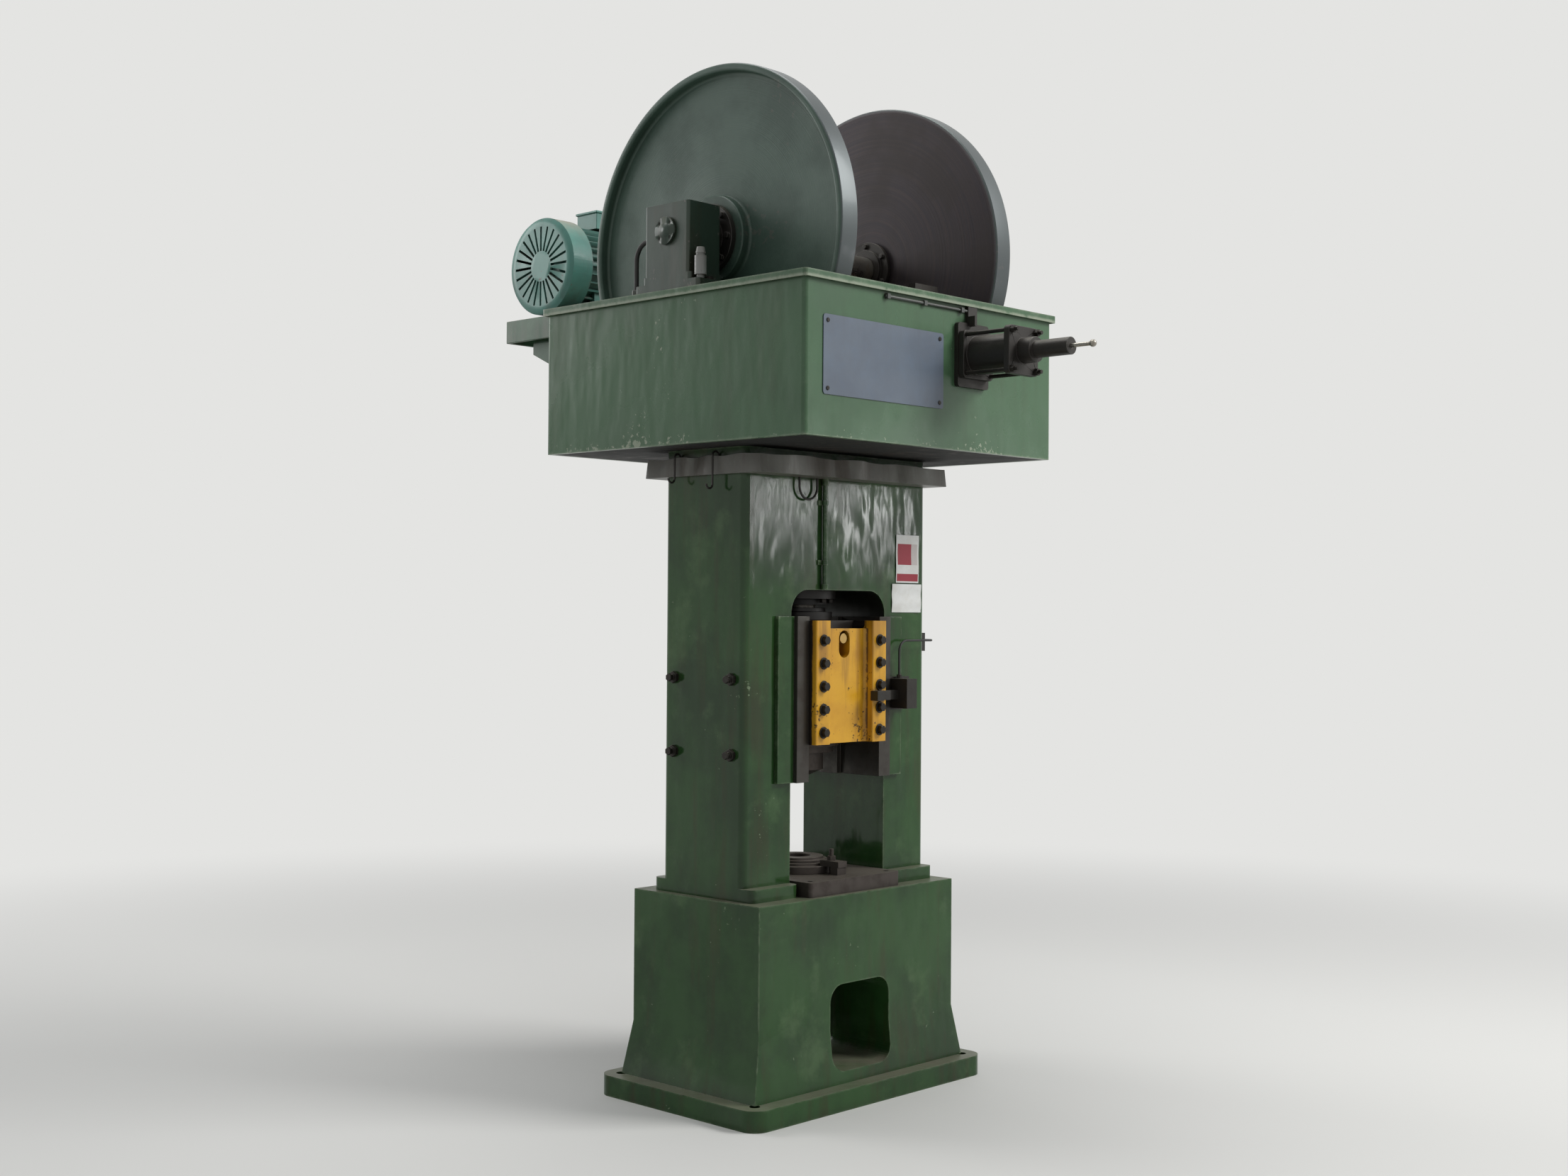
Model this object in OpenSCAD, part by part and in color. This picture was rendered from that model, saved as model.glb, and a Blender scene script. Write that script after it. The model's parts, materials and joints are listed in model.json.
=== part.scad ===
// Double-disc friction screw press for hot stamping.
// The origin is on the floor under the screw axis. +X runs right along the front,
// the front faces -Y, +Z is up.
// At rest the ram is at the top of its stroke, the brake is on and neither disc touches the flywheel.

/* [Frame casting] */
// Width across the two columns
frame_w = 930; // [900:5:980]
// Depth of the columns from front to back
frame_d = 385; // [360:5:420]
// Height from the floor to the face that carries the crown
frame_h = 2200; // [2180:5:2240]
// Width of the window between the columns
window_w = 480; // [470:2:500]
// Height of the window's arch above the floor
arch_z = 1730; // [1725:5:1745]
// Radius of the window's upper corners
arch_r = 80; // [50:5:110]
// Height of the bed's working face
bed_z = 700; // [680:5:710]
// Width of the bed block
bed_w = 990; // [970:5:1040]
// Depth of the bed block
bed_d = 600; // [580:5:660]
// Width of the base flange
base_w = 1180; // [1140:10:1240]
// Depth of the base flange
base_d = 760; // [720:10:820]
// Thickness of the base flange
base_t = 70; // [60:5:80]
// Distance between foundation bolts along X
anchor_dx = 1060; // [1060:5:1080]
// Distance between foundation bolts along Y
anchor_dy = 640; // [620:5:650]
// Diameter of the foundation bolt holes
anchor_d = 36; // [30:1:40]
// Width of the cored tunnel under the bed
tunnel_w = 300; // [260:10:330]
// Height of the tunnel's roof
tunnel_z = 400; // [380:5:420]
// Rounding of the casting's upright edges
cast_r = 24; // [12:1:36]

/* [Ram and guides] */
// Width of the ram
ram_w = 361; // [350:1:365]
// Height of the ram block
ram_h = 420; // [400:5:430]
// Height of the ram's underside above the bed at the top of the stroke
ram_rise = 506; // [500:1:515]
// How far the ram's bolted strips stand in front of the frame
ram_proud = 62; // [55:1:75]
// Thickness of the bolted strips, which is the depth of the recess between them
strip_t = 37; // [30:1:42]
// Width of each bolted strip
strip_w = 72; // [66:1:80]
// Size across the flats of the strip bolts
strip_bolt_af = 27; // [22:1:30]
// Height of the lowest strip bolt above the ram's underside
strip_bolt_z0 = 41; // [36:1:48]
// Spacing of the strip bolts
strip_bolt_pitch = 78; // [72:1:80]
// Depth of the notch in the ram's top edge
notch_h = 27; // [20:1:32]
// Depth of the notch, front to back
notch_d = 55; // [40:1:60]
// Radius of the fillets between the ram's panel and its strips
fillet_r = 14; // [8:1:16]
// Width of the oblong slot in the ram's face
slot_w = 55; // [48:1:60]
// Height of the oblong slot
slot_h = 94; // [86:1:100]
// Height of the guide gibs
gib_h = 560; // [520:5:570]
// Width of the gib's tongue, front to back
tongue_w = 80; // [70:2:100]
// Depth of the groove that the tongue runs in
groove_d = 20; // [14:1:24]
// Width of the raised pads on the frame's face beside the window
pad_w = 78; // [70:1:84]
// Thickness of the raised pads
pad_t = 15; // [10:1:18]
// How far the gibs stand out in front of the pads
gib_proud = 15; // [10:1:18]

/* [Dies] */
// Thickness of the bolster plate
bolster_t = 50; // [45:1:55]
// Diameter of the lower die
die_d = 210; // [190:5:230]
// Height of the lower die
die_h = 50; // [46:1:52]
// Diameter of the impression in the lower die
impression_d = 96; // [80:2:110]
// Depth of the impression
impression_h = 26; // [20:1:28]
// Height of the upper die below its holder
punch_h = 92; // [86:1:94]

/* [Screw and flywheel] */
// Outside diameter of the screw
screw_d = 140; // [130:2:144]
// Travel of the ram
stroke = 250; // [230:5:252]
// Outside diameter of the flywheel over its lining
fly_d = 716; // [700:2:718]
// Height of the flywheel's rim
fly_rim_h = 100; // [90:2:104]
// Top of the rim above the crown's lid, with the ram up
fly_rise = 70; // [60:1:75]
// Thickness of the lining on the rim
lining_t = 18; // [12:1:22]
// Diameter of the flywheel's hub
fly_hub_d = 250; // [230:5:270]

/* [Crown] */
// Width of the crown box
crown_w = 1280; // [1270:5:1300]
// Depth of the crown box
crown_d = 1240; // [1230:5:1280]
// Height of the crown box over its lid
crown_h = 510; // [505:1:520]
// Thickness of the crown's walls
crown_t = 20; // [14:1:22]
// How far the lid hangs over the walls
lid_over = 14; // [8:1:20]
// Thickness of the lid
lid_t = 16; // [12:1:20]
// Height of the sheet gutter's lip round the frame head
gutter_h = 62; // [50:2:72]

/* [Disc drive] */
// Diameter of the friction discs
disc_d = 1180; // [1140:5:1190]
// Width of each disc's rim
disc_t = 80; // [70:1:84]
// Height of the disc shaft above the crown's lid
shaft_rise = 195; // [193:1:205]
// Free gap between a disc and the flywheel when neither drives
disc_gap = 5; // [4:0.5:6]
// Diameter of the disc shaft between its bearings
shaft_d = 96; // [88:2:100]
// Diameter of the disc shaft's journals
journal_d = 76; // [70:2:80]
// Width of a pedestal, front to back
ped_w = 208; // [200:2:230]
// Diameter of the pulley on the disc shaft
pulley_d = 350; // [320:5:360]
// Diameter of the motor's pulley
motor_pulley_d = 120; // [110:5:130]
// Width of the flat belt
belt_w = 90; // [80:2:94]
// Thickness of the flat belt
belt_t = 7; // [5:0.5:9]

/* [Motor] */
// Distance from the screw axis back to the motor's axis
motor_y = 1250; // [1230:5:1290]
// Height of the motor's axis above the crown's lid
motor_rise = 295; // [290:1:302]
// Diameter of the motor's finned body
motor_d = 350; // [330:5:365]
// Diameter of the fan cowl
cowl_d = 380; // [374:2:386]
// Height of the platform's edge
platform_h = 88; // [80:2:90]

/* [Brake] */
// Position of the brake cylinder along X
brake_x = 175; // [165:1:185]
// Height of the brake cylinder's axis above the crown's underside
brake_rise = 320; // [310:1:330]
// Diameter of the brake cylinder's tube
brake_d = 130; // [120:2:136]
// Travel of the brake when it lets go
brake_travel = 12; // [8:1:12]

/* [Clearances] */
// Radial clearance of a running or sliding fit
fit_gap = 0.05; // [0.03:0.01:0.08]
// Gap between flat sliding faces
slide_gap = 0.3; // [0.2:0.05:0.5]
// Radial gap where one fixed piece drops into another
seat_gap = 0.1; // [0.05:0.05:0.3]

/* [Hidden] */
$fn = 64;

// Frame
column_w = (frame_w - window_w) / 2;
face_y = frame_d / 2;
bed_flare_z = 250;
tunnel_r = 60;
column_foot = 45;
head_bore_d = 200;
head_bore_z = frame_h - 70;
nut_flange_d = 260;
nut_flange_t = 30;
nut_bolt_pcd = 232;
buffer_t = 20;
buffer_d = 196;

// Ram
ram_z = bed_z + ram_rise;
ram_top = ram_z + ram_h;
ram_d = 2 * (face_y + ram_proud - strip_t);
strip_y = -ram_d / 2;
strip_bolt_x = ram_w / 2 - strip_w / 2;
strip_bolt_zs = [for (i = [0:4]) ram_z + strip_bolt_z0 + i * strip_bolt_pitch];
slot_z = ram_top - 81;
slot_depth = 55;
pin_d = 34;
gib_top = arch_z - 90;
gib_z0 = gib_top - gib_h;
gib_depth = frame_d - 2 * cast_r;
gib_front = face_y + pad_t + gib_proud;
gib_in_x = ram_w / 2 + slide_gap;
gib_bolt_y = 137;
gib_nut_af = 36;
gib_nut_h = 14;
gib_stud = 10;
gib_bolt_af = 24;
gib_bolt_h = 8;
gib_stud_d = 20;
gib_bolt_in_top = 210;
gib_bolt_in_foot = 100;
gib_bolt_zs = [gib_top - gib_bolt_in_top, gib_z0 + gib_bolt_in_foot];

// Heights that the screw, the crown and the drive share
crown_z = frame_h;
crown_top = crown_z + crown_h;
brake_z = crown_z + brake_rise;
shaft_z = crown_top + shaft_rise;
fly_top_z = crown_top + fly_rise;
motor_z = crown_top + motor_rise;

// Screw, measured from the ram
collar_d = 160;
collar_h = 30;
collar_z = ram_top - collar_h;
stem_d = 110;
stem_z0 = collar_z - 120;
neck_d = screw_d - 20;
cap_t = 44;
thread_z0 = ram_top + cap_t + 24;
nut_z0 = arch_z - nut_flange_t;
nut_top = head_bore_z;
thread_top = nut_top + stroke + 30;
fly_hub_z0 = fly_top_z - fly_rim_h - 60;
fly_hub_top = fly_top_z + 14;
seat_d = screw_d - 16;
lock_h = 40;
lock_d = 112;
rim_in_d = fly_d - 2 * lining_t;

// Crown
crown_y = crown_d / 2;
crown_x = crown_w / 2;
floor_t = 30;
lid_z = crown_top - lid_t;
disc_in = fly_d / 2 + disc_gap;
disc_out = disc_in + disc_t;
lid_open_x = disc_out + 16;
lid_open_y = sqrt(pow(disc_d / 2, 2) - pow(shaft_rise, 2)) + 18;
gutter_z = crown_z - 90;
gutter_x = frame_w / 2 + 18;
gutter_y = face_y + 90;
sheet_t = 4;

// Disc drive
shift = disc_gap - slide_gap - 1;
ped_in_left = disc_out + 56;
ped_in_right = disc_out + 26;
ped_out_left = crown_x + 8;
ped_out_right = ped_in_right + 92;
ped_top = shaft_z + 90;
ped_foot = 50;
ped_flange_t = 26;
quill_d = journal_d + 46;
quill_out_left = ped_out_left - 20;
hub_left_d = 236;
hub_right_d = 210;
hub_t = 46;
hub_in_t = 28;
pulley_x = ped_out_right + 12;
pulley_w = belt_w + 20;
belt_x = pulley_x + pulley_w / 2;

// Motor
motor_end_x = -160;
cowl_l = 105;
cowl_lap = 20;
cowl_t = 5;
motor_body_x = motor_end_x + cowl_l - cowl_lap;
motor_body_l = belt_x - pulley_w / 2 - 40 - motor_body_x;
motor_shaft_d = 55;
motor_foot_h = 200;
platform_top = motor_z - motor_foot_h;
platform_y0 = crown_y + lid_over + 6;
platform_y1 = motor_y + cowl_d / 2 + 12;
platform_x0 = motor_end_x - 8;
platform_x1 = motor_body_x + motor_body_l + 20;

// Brake
brake_plate_t = 16;
brake_end_y = -crown_y - brake_plate_t - 209;
brake_bore = brake_d - 30;
brake_head_t = 22;
brake_sq = brake_d + 30;
tie_off = brake_d / 2;
tie_d = 14;
nose_l = 52;
spindle_l = 138;
nose_d = 85;
spindle_d = 58;
needle_l = 83;
needle_d = 14;
push_d = 30;
shoe_w = 120;
shoe_back_y = -fly_d / 2 - 72;
shoe_back_t = 30;
guide_pin_d = 20;
guide_pin_z = brake_z + 120;

// Ejector
bracket_z = 1312;
dog_rise = 38;
cable_out = 40;
sensor_x = window_w / 2 + 2;
block_mid = 34;
cable_rise = 244;
cable_top = bracket_z + cable_rise;
box_face_y = 170;
ejector_d = 40;
ejector_travel = 40;
ejector_cyl_d = 160;
ejector_cyl_h = 190;

// Dies stacked on the bed
bolster_w = window_w - 20;
bolster_d = bed_d - 40;
bolster_top = bed_z + bolster_t;
bolster_screw_d = 36;
bolster_screw_h = 20;
die_holder_d = die_d + 90;
die_holder_h = 26;
die_top = bolster_top + die_h;
holder_t = 40;
holder_d = 290;
punch_d = impression_d - 16;

// A rectangle with round corners, centred, made of true arcs
module round_rect(w, d, r) {
    square([w - 2 * r, d], center = true);
    square([w, d - 2 * r], center = true);
    for (x = [-1, 1], y = [-1, 1])
        translate([x * (w / 2 - r), y * (d / 2 - r)]) circle(r);
}

// An upright block with round corners
module round_block(w, d, h, r) {
    linear_extrude(h) round_rect(w, d, r);
}

// A cylinder that runs from x along +X
module rod_x(x, l, d) {
    translate([x, 0, 0]) rotate([0, 90, 0]) cylinder(h = l, d = d);
}

// A cylinder that runs from y along +Y
module rod_y(y, l, d) {
    translate([0, y, 0]) rotate([-90, 0, 0]) cylinder(h = l, d = d);
}

// A tube that stands on the plane z = 0
module ring(od, id, h) {
    difference() {
        cylinder(h = h, d = od);
        translate([0, 0, -1]) cylinder(h = h + 2, d = id);
    }
}

// A hexagon head or nut whose underside is at z = 0
module hex_head(af, h) {
    cylinder(h = h, d = af / cos(30), $fn = 6);
}

// Places its children at the four corners of a rectangle
module corners(dx, dy) {
    for (x = [-1, 1], y = [-1, 1]) translate([x * dx / 2, y * dy / 2, 0]) children();
}

// Places its children evenly round a circle
module around(n, pcd, start = 0) {
    for (i = [0:n - 1]) rotate(start + i * 360 / n) translate([pcd / 2, 0, 0]) children();
}

// FRAME

// Side profile of the bed, drawn in Y and Z
module bed_profile() {
    polygon([[-base_d / 2 + 60, base_t - 1], [-bed_d / 2, bed_flare_z], [-bed_d / 2, bed_z],
        [bed_d / 2, bed_z], [bed_d / 2, bed_flare_z], [base_d / 2 - 60, base_t - 1]]);
}

// Front profile of the bed, drawn in X and Z
module bed_front() {
    polygon([[-base_w / 2 + 60, base_t - 1], [-bed_w / 2, bed_flare_z], [-bed_w / 2, bed_z],
        [bed_w / 2, bed_z], [bed_w / 2, bed_flare_z], [base_w / 2 - 60, base_t - 1]]);
}

// The window between the columns, with its rounded arch, drawn in X and Z
module window_profile() {
    translate([0, (bed_z + arch_z) / 2]) round_rect(window_w, arch_z - bed_z, arch_r);
    translate([-window_w / 2, bed_z]) square([window_w, arch_r * 2]);
}

// The cored tunnel under the bed, with a round roof, drawn in X and Z
module tunnel_profile() {
    translate([0, (base_t + tunnel_z) / 2 + 20]) round_rect(tunnel_w, tunnel_z - base_t - 40, tunnel_r);
}

module frame_casting() {
    color("#3f6b4a") difference() {
        union() {
            round_block(base_w, base_d, base_t, 60);
            intersection() {
                rotate([90, 0, 90]) translate([0, 0, -base_w / 2]) linear_extrude(base_w) bed_profile();
                rotate([90, 0, 0]) translate([0, 0, -base_d / 2]) linear_extrude(base_d) bed_front();
            }
            translate([0, 0, base_t]) round_block(frame_w, frame_d, frame_h - base_t, cast_r);
            for (s = [-1, 1]) translate([s * (frame_w - column_w) / 2, 0, bed_z - 1])
                round_block(column_w, frame_d + 2 * column_foot, column_foot, cast_r);
        }
        rotate([90, 0, 0]) translate([0, 0, -base_d / 2 - 1]) linear_extrude(base_d + 2) window_profile();
        rotate([90, 0, 0]) translate([0, 0, -base_d / 2 - 1]) linear_extrude(base_d + 2) tunnel_profile();
        translate([0, 0, arch_z - 1]) cylinder(h = head_bore_z - arch_z + 1, d = head_bore_d + 2 * seat_gap);
        translate([0, 0, head_bore_z - 1]) cylinder(h = frame_h - head_bore_z + 2, d = screw_d + 24);
        translate([0, 0, tunnel_z - 1]) cylinder(h = bed_z - tunnel_z + 2, d = ejector_d + 20);
        corners(anchor_dx, anchor_dy) translate([0, 0, -1]) cylinder(h = base_t + 2, d = anchor_d);
    }
}

module bolster_plate() {
    color("#5b5f60") translate([0, 0, bed_z]) difference() {
        round_block(bolster_w, bolster_d, bolster_t, 14);
        translate([0, 0, -1]) cylinder(h = bolster_t + 2, d = ejector_d + 10);
        corners(bolster_w - 70, bolster_d - 70) translate([0, 0, bolster_t - bolster_screw_h])
            cylinder(h = bolster_screw_h + 1, d = bolster_screw_d + 2 * seat_gap);
    }
}

// Socket screws that hold the bolster on the bed, sunk flush
module bolster_screws() {
    color("#2b2b2b") translate([0, 0, bolster_top - bolster_screw_h])
        corners(bolster_w - 70, bolster_d - 70) difference() {
            cylinder(h = bolster_screw_h, d = bolster_screw_d);
            translate([0, 0, bolster_screw_h - 10]) hex_head(17, 11);
        }
}

module lower_die_holder() {
    color("#4a4743") translate([0, 0, bolster_top]) difference() {
        union() {
            cylinder(h = die_holder_h, d = die_holder_d);
            cylinder(h = die_holder_h + 8, d = die_d + 40);
        }
        translate([0, 0, -1]) cylinder(h = die_holder_h + 10, d = die_d + 2 * seat_gap);
    }
}

module lower_die() {
    color("#3c3a38") translate([0, 0, bolster_top]) difference() {
        union() {
            cylinder(h = die_h - 8, d = die_d);
            cylinder(h = die_h, d = die_d - 24);
        }
        translate([0, 0, die_h - impression_h]) cylinder(h = impression_h + 1, d = impression_d);
        translate([0, 0, -1]) cylinder(h = die_h, d = ejector_d + 2 * fit_gap);
    }
}

// One strap clamp on the holder's edge, with its heel block, stud and nut
module die_clamp() {
    strap_w = 44;
    strap_t = 20;
    strap_grip = 20;
    stud_out = 14;
    heel_out = 30;
    heel_l = 32;
    stud_d = 16;
    stud_end = 24;
    nut_h = 16;
    translate([0, 0, bolster_top]) {
        translate([die_holder_d / 2 + heel_out, -strap_w / 2, 0]) cube([heel_l, strap_w, die_holder_h]);
        translate([die_holder_d / 2 - strap_grip, -strap_w / 2, die_holder_h])
            difference() {
                cube([strap_grip + heel_out + heel_l + 4, strap_w, strap_t]);
                translate([strap_grip + stud_out, strap_w / 2, -1])
                    cylinder(h = strap_t + 2, d = stud_d + 2);
            }
        translate([die_holder_d / 2 + stud_out, 0, 0])
            cylinder(h = die_holder_h + strap_t + nut_h + stud_end, d = stud_d);
        translate([die_holder_d / 2 + stud_out, 0, die_holder_h + strap_t]) hex_head(27, nut_h);
    }
}

module die_clamps() {
    color("#56524c") for (a = [90, 270]) rotate(a) die_clamp();
}

// Section of the right-hand gib in X and Y: a plate on the column and a tongue that runs in the ram
module gib_section() {
    translate([gib_in_x, -gib_front]) square([window_w / 2 - gib_in_x, gib_depth / 2 + gib_front]);
    translate([gib_in_x - groove_d + 1, -tongue_w / 2]) square([groove_d, tongue_w]);
}

module guide_gibs() {
    color("#6e5a2c") for (s = [0, 1]) mirror([s, 0, 0])
        translate([0, 0, gib_z0]) linear_extrude(gib_h) gib_section();
}

module guide_pads() {
    color("#3f6b4a") for (s = [0, 1]) mirror([s, 0, 0])
        translate([window_w / 2, -face_y - pad_t, gib_z0]) cube([pad_w, pad_t, gib_h]);
}

// Adjusting bolts of the gibs, with their lock nuts, on the outer faces of the columns
module gib_bolts() {
    color("#2b2b2b") for (s = [0, 1]) mirror([s, 0, 0])
        for (y = [-gib_bolt_y, gib_bolt_y], z = gib_bolt_zs)
            translate([frame_w / 2, y, z]) rotate([0, 90, 0]) {
                hex_head(gib_nut_af, gib_nut_h);
                translate([0, 0, gib_nut_h]) cylinder(h = gib_stud, d = gib_stud_d);
                translate([0, 0, gib_nut_h + gib_stud]) hex_head(gib_bolt_af, gib_bolt_h);
            }
}

module screw_nut() {
    color("#a8803c") difference() {
        union() {
            translate([0, 0, nut_z0]) cylinder(h = nut_flange_t, d = nut_flange_d);
            translate([0, 0, nut_z0]) cylinder(h = nut_top - nut_z0, d = head_bore_d);
        }
        translate([0, 0, nut_z0 - 1]) cylinder(h = nut_top - nut_z0 + 2, d = screw_d + 2 * fit_gap);
    }
}

module nut_bolts() {
    color("#2b2b2b") translate([0, 0, nut_z0]) mirror([0, 0, 1])
        around(6, nut_bolt_pcd, 30) hex_head(22, 13);
}

module buffer_ring() {
    color("#1f1f1f") translate([0, 0, nut_z0 - buffer_t]) ring(buffer_d, screw_d + 12, buffer_t);
}

// CROWN

module crown_floor() {
    color("#2f3f33") translate([0, 0, crown_z]) difference() {
        round_block(crown_w - 2 * crown_t, crown_d - 2 * crown_t, floor_t, 6);
        translate([0, 0, -1]) cylinder(h = floor_t + 2, d = screw_d + 24);
        corners(frame_w - 120, frame_d - 90) translate([0, 0, -1]) cylinder(h = floor_t + 2, d = 34);
    }
}

module crown_shell() {
    color("#4a7a57") difference() {
        union() {
            translate([0, 0, crown_z]) difference() {
                round_block(crown_w, crown_d, crown_h - lid_t, 16);
                translate([0, 0, -1])
                    round_block(crown_w - 2 * crown_t, crown_d - 2 * crown_t, crown_h, 6);
            }
            translate([brake_x, 0, guide_pin_z]) rod_y(-crown_y + crown_t - 1, 62, 54);
        }
        translate([brake_x, 0, brake_z]) rod_y(-crown_y - 1, crown_t + 2, push_d + 2);
        translate([brake_x, 0, guide_pin_z]) rod_y(-crown_y + crown_t + 1, 80, guide_pin_d + 2 * fit_gap);
    }
}

module crown_lid() {
    lid_w = crown_w + 2 * lid_over;
    lid_d = crown_d + 2 * lid_over;
    color("#4a7a57") difference() {
        union() {
            translate([0, 0, lid_z]) round_block(lid_w, lid_d, lid_t, 14);
            translate([0, 0, lid_z - 8]) difference() {
                round_block(lid_w, lid_d, 9, 14);
                translate([0, 0, -1]) round_block(lid_w - 12, lid_d - 12, 11, 10);
            }
        }
        translate([0, 0, lid_z - 1]) round_block(2 * lid_open_x, 2 * lid_open_y, lid_t + 2, 30);
    }
}

// Hexagon bolts that hold the crown on the frame head and the pedestals on the lid
module crown_fasteners() {
    color("#2b2b2b") {
        translate([0, 0, crown_z]) corners(frame_w - 120, frame_d - 90) {
            cylinder(h = floor_t, d = 30);
            translate([0, 0, floor_t]) hex_head(46, 19);
        }
        for (y = [-1, 1]) {
            translate([-(ped_in_left + ped_out_left) / 2, y * (ped_w / 2 + 24), crown_top + ped_flange_t])
                hex_head(24, 13);
            translate([(ped_in_right + ped_out_right) / 2, y * (ped_w / 2 + 24), crown_top + ped_flange_t])
                hex_head(24, 13);
        }
    }
}

module gutter() {
    color("#77776f") translate([0, 0, gutter_z]) difference() {
        round_block(2 * gutter_x, 2 * gutter_y, gutter_h, 6);
        translate([0, 0, sheet_t])
            round_block(2 * (gutter_x - sheet_t), 2 * (gutter_y - sheet_t), gutter_h, 4);
        translate([0, 0, -1]) round_block(frame_w, frame_d, gutter_h + 2, cast_r);
    }
}

// A bent hook of round bar that hangs on the gutter's lip
module hook(drop) {
    bar = 7;
    bend = 14;
    translate([-gutter_x - bend, 0, 0]) {
        translate([0, 0, gutter_z + gutter_h - drop]) cylinder(h = drop, d = bar);
        translate([bend, 0, gutter_z + gutter_h]) rotate([90, 0, 180])
            rotate_extrude(angle = 180) translate([bend, 0]) circle(d = bar);
        translate([0, 0, gutter_z + gutter_h - drop]) translate([-bend, 0, 0]) rotate([90, 0, 0])
            rotate([0, 0, 180]) rotate_extrude(angle = 180) translate([bend, 0]) circle(d = bar);
    }
}

// A loop of stiff wire that hangs under the gutter, in front of the frame
module wire_loop() {
    wire = 8;
    r = 44;
    leg = 30;
    translate([-window_w / 2 + 65, -face_y - 14, gutter_z - leg]) {
        for (x = [-r, r]) translate([x, 0, 0]) cylinder(h = leg, d = wire);
        rotate([90, 180, 0]) rotate_extrude(angle = 180) translate([r, 0]) circle(d = wire);
    }
}

module gutter_hooks() {
    color("#303030") {
        translate([0, -gutter_y / 4, 0]) hook(gutter_h + 34);
        translate([0, gutter_y * 0.4, 0]) hook(gutter_h + 8);
        wire_loop();
    }
}

// Oil pipe from the gutter to the arch, held by two saddle clips
module lube_pipe() {
    pipe_d = 16;
    pipe_x = -88;
    pipe_z0 = arch_z + 16;
    clip_h = 16;
    clip_w = 48;
    clip_low = 70;
    clip_high = 90;
    collar_r = pipe_d / 2 + 4;
    color("#2f4f38") translate([pipe_x, -face_y - collar_r, 0]) {
        translate([0, 0, pipe_z0]) cylinder(h = gutter_z - pipe_z0, d = pipe_d);
        translate([0, 0, pipe_z0 - 14]) cylinder(h = 18, r = collar_r);
        translate([0, 0, gutter_z - 22]) cylinder(h = 22, r = collar_r);
        for (z = [pipe_z0 + clip_low, gutter_z - clip_high]) translate([0, 0, z]) {
            cylinder(h = clip_h, d = pipe_d + 6);
            translate([-clip_w / 2, pipe_d / 2, 0]) cube([clip_w, collar_r - pipe_d / 2, clip_h]);
        }
    }
}

module nameplate() {
    plate_w = 590;
    plate_h = 250;
    plate_x = -264;
    plate_rise = 256;
    plate_z = crown_z + plate_rise;
    color("#77829a") translate([plate_x, -crown_y, plate_z]) rotate([90, 0, 0])
        round_block(plate_w, plate_h, 3, 10);
}

// BRAKE

module brake_flange() {
    plate_h = 216;
    plate_w = brake_sq + 6;
    strut_z = brake_z + plate_h / 2 - 10;
    strut_w = 48;
    color("#262826") translate([brake_x, -crown_y, 0]) difference() {
        union() {
            translate([0, 0, brake_z]) rotate([90, 0, 0]) round_block(plate_w, plate_h, brake_plate_t, 12);
            translate([-strut_w / 2, -brake_plate_t + 4, strut_z]) cube([strut_w, 12, lid_z - 8 - strut_z]);
            translate([-strut_w / 2, -40, strut_z]) cube([12, 40, 34]);
        }
        translate([0, 0, brake_z]) rod_y(-brake_plate_t - 1, brake_plate_t + 2, push_d + 2);
    }
}

module brake_cylinder() {
    body_y = -crown_y - brake_plate_t;
    color("#1e1f1e") translate([brake_x, 0, brake_z]) difference() {
        union() {
            rod_y(brake_end_y, body_y - brake_end_y, brake_d);
            for (y = [brake_end_y, body_y - brake_head_t]) translate([0, y + brake_head_t, 0])
                rotate([90, 0, 0]) round_block(brake_sq, brake_sq, brake_head_t, 16);
            rod_y(brake_end_y - nose_l, nose_l + 1, nose_d);
            rod_y(brake_end_y - nose_l - spindle_l, spindle_l + 1, spindle_d);
        }
        rod_y(brake_end_y + brake_head_t, body_y - brake_end_y - 2 * brake_head_t, brake_bore);
        rod_y(body_y - brake_head_t - 1, brake_head_t + 2, push_d + 2 * fit_gap);
        rod_y(brake_end_y - nose_l - spindle_l - 1, nose_l + spindle_l + brake_head_t + 2,
            needle_d + 2 * fit_gap);
        corners_xz(2 * tie_off) rod_y(brake_end_y - 1, body_y - brake_end_y + 2, tie_d);
    }
}

// Places its children at the corners of a square in X and Z
module corners_xz(d) {
    for (x = [-1, 1], z = [-1, 1]) translate([x * d / 2, 0, z * d / 2]) children();
}

module brake_tie_rods() {
    body_y = -crown_y - brake_plate_t;
    tie_end = 26;
    nut_af = 22;
    nut_h = 14;
    color("#3a3a38") translate([brake_x, 0, brake_z]) corners_xz(2 * tie_off) {
        rod_y(brake_end_y - tie_end, body_y - brake_end_y + tie_end, tie_d - 2 * seat_gap);
        translate([0, brake_end_y, 0]) rotate([90, 0, 0]) hex_head(nut_af, nut_h);
    }
}

module brake_rod() {
    tail = brake_end_y - nose_l - spindle_l - needle_l;
    body_y = -crown_y - brake_plate_t;
    piston_y = body_y - brake_head_t - 70;
    color("#8a8c8a") translate([brake_x, 0, brake_z]) {
        rod_y(tail, piston_y - tail, needle_d);
        translate([0, tail, 0]) sphere(d = 24);
        rod_y(piston_y, 40, brake_bore - 1);
        rod_y(piston_y, shoe_back_y - piston_y, push_d);
    }
}

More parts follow.
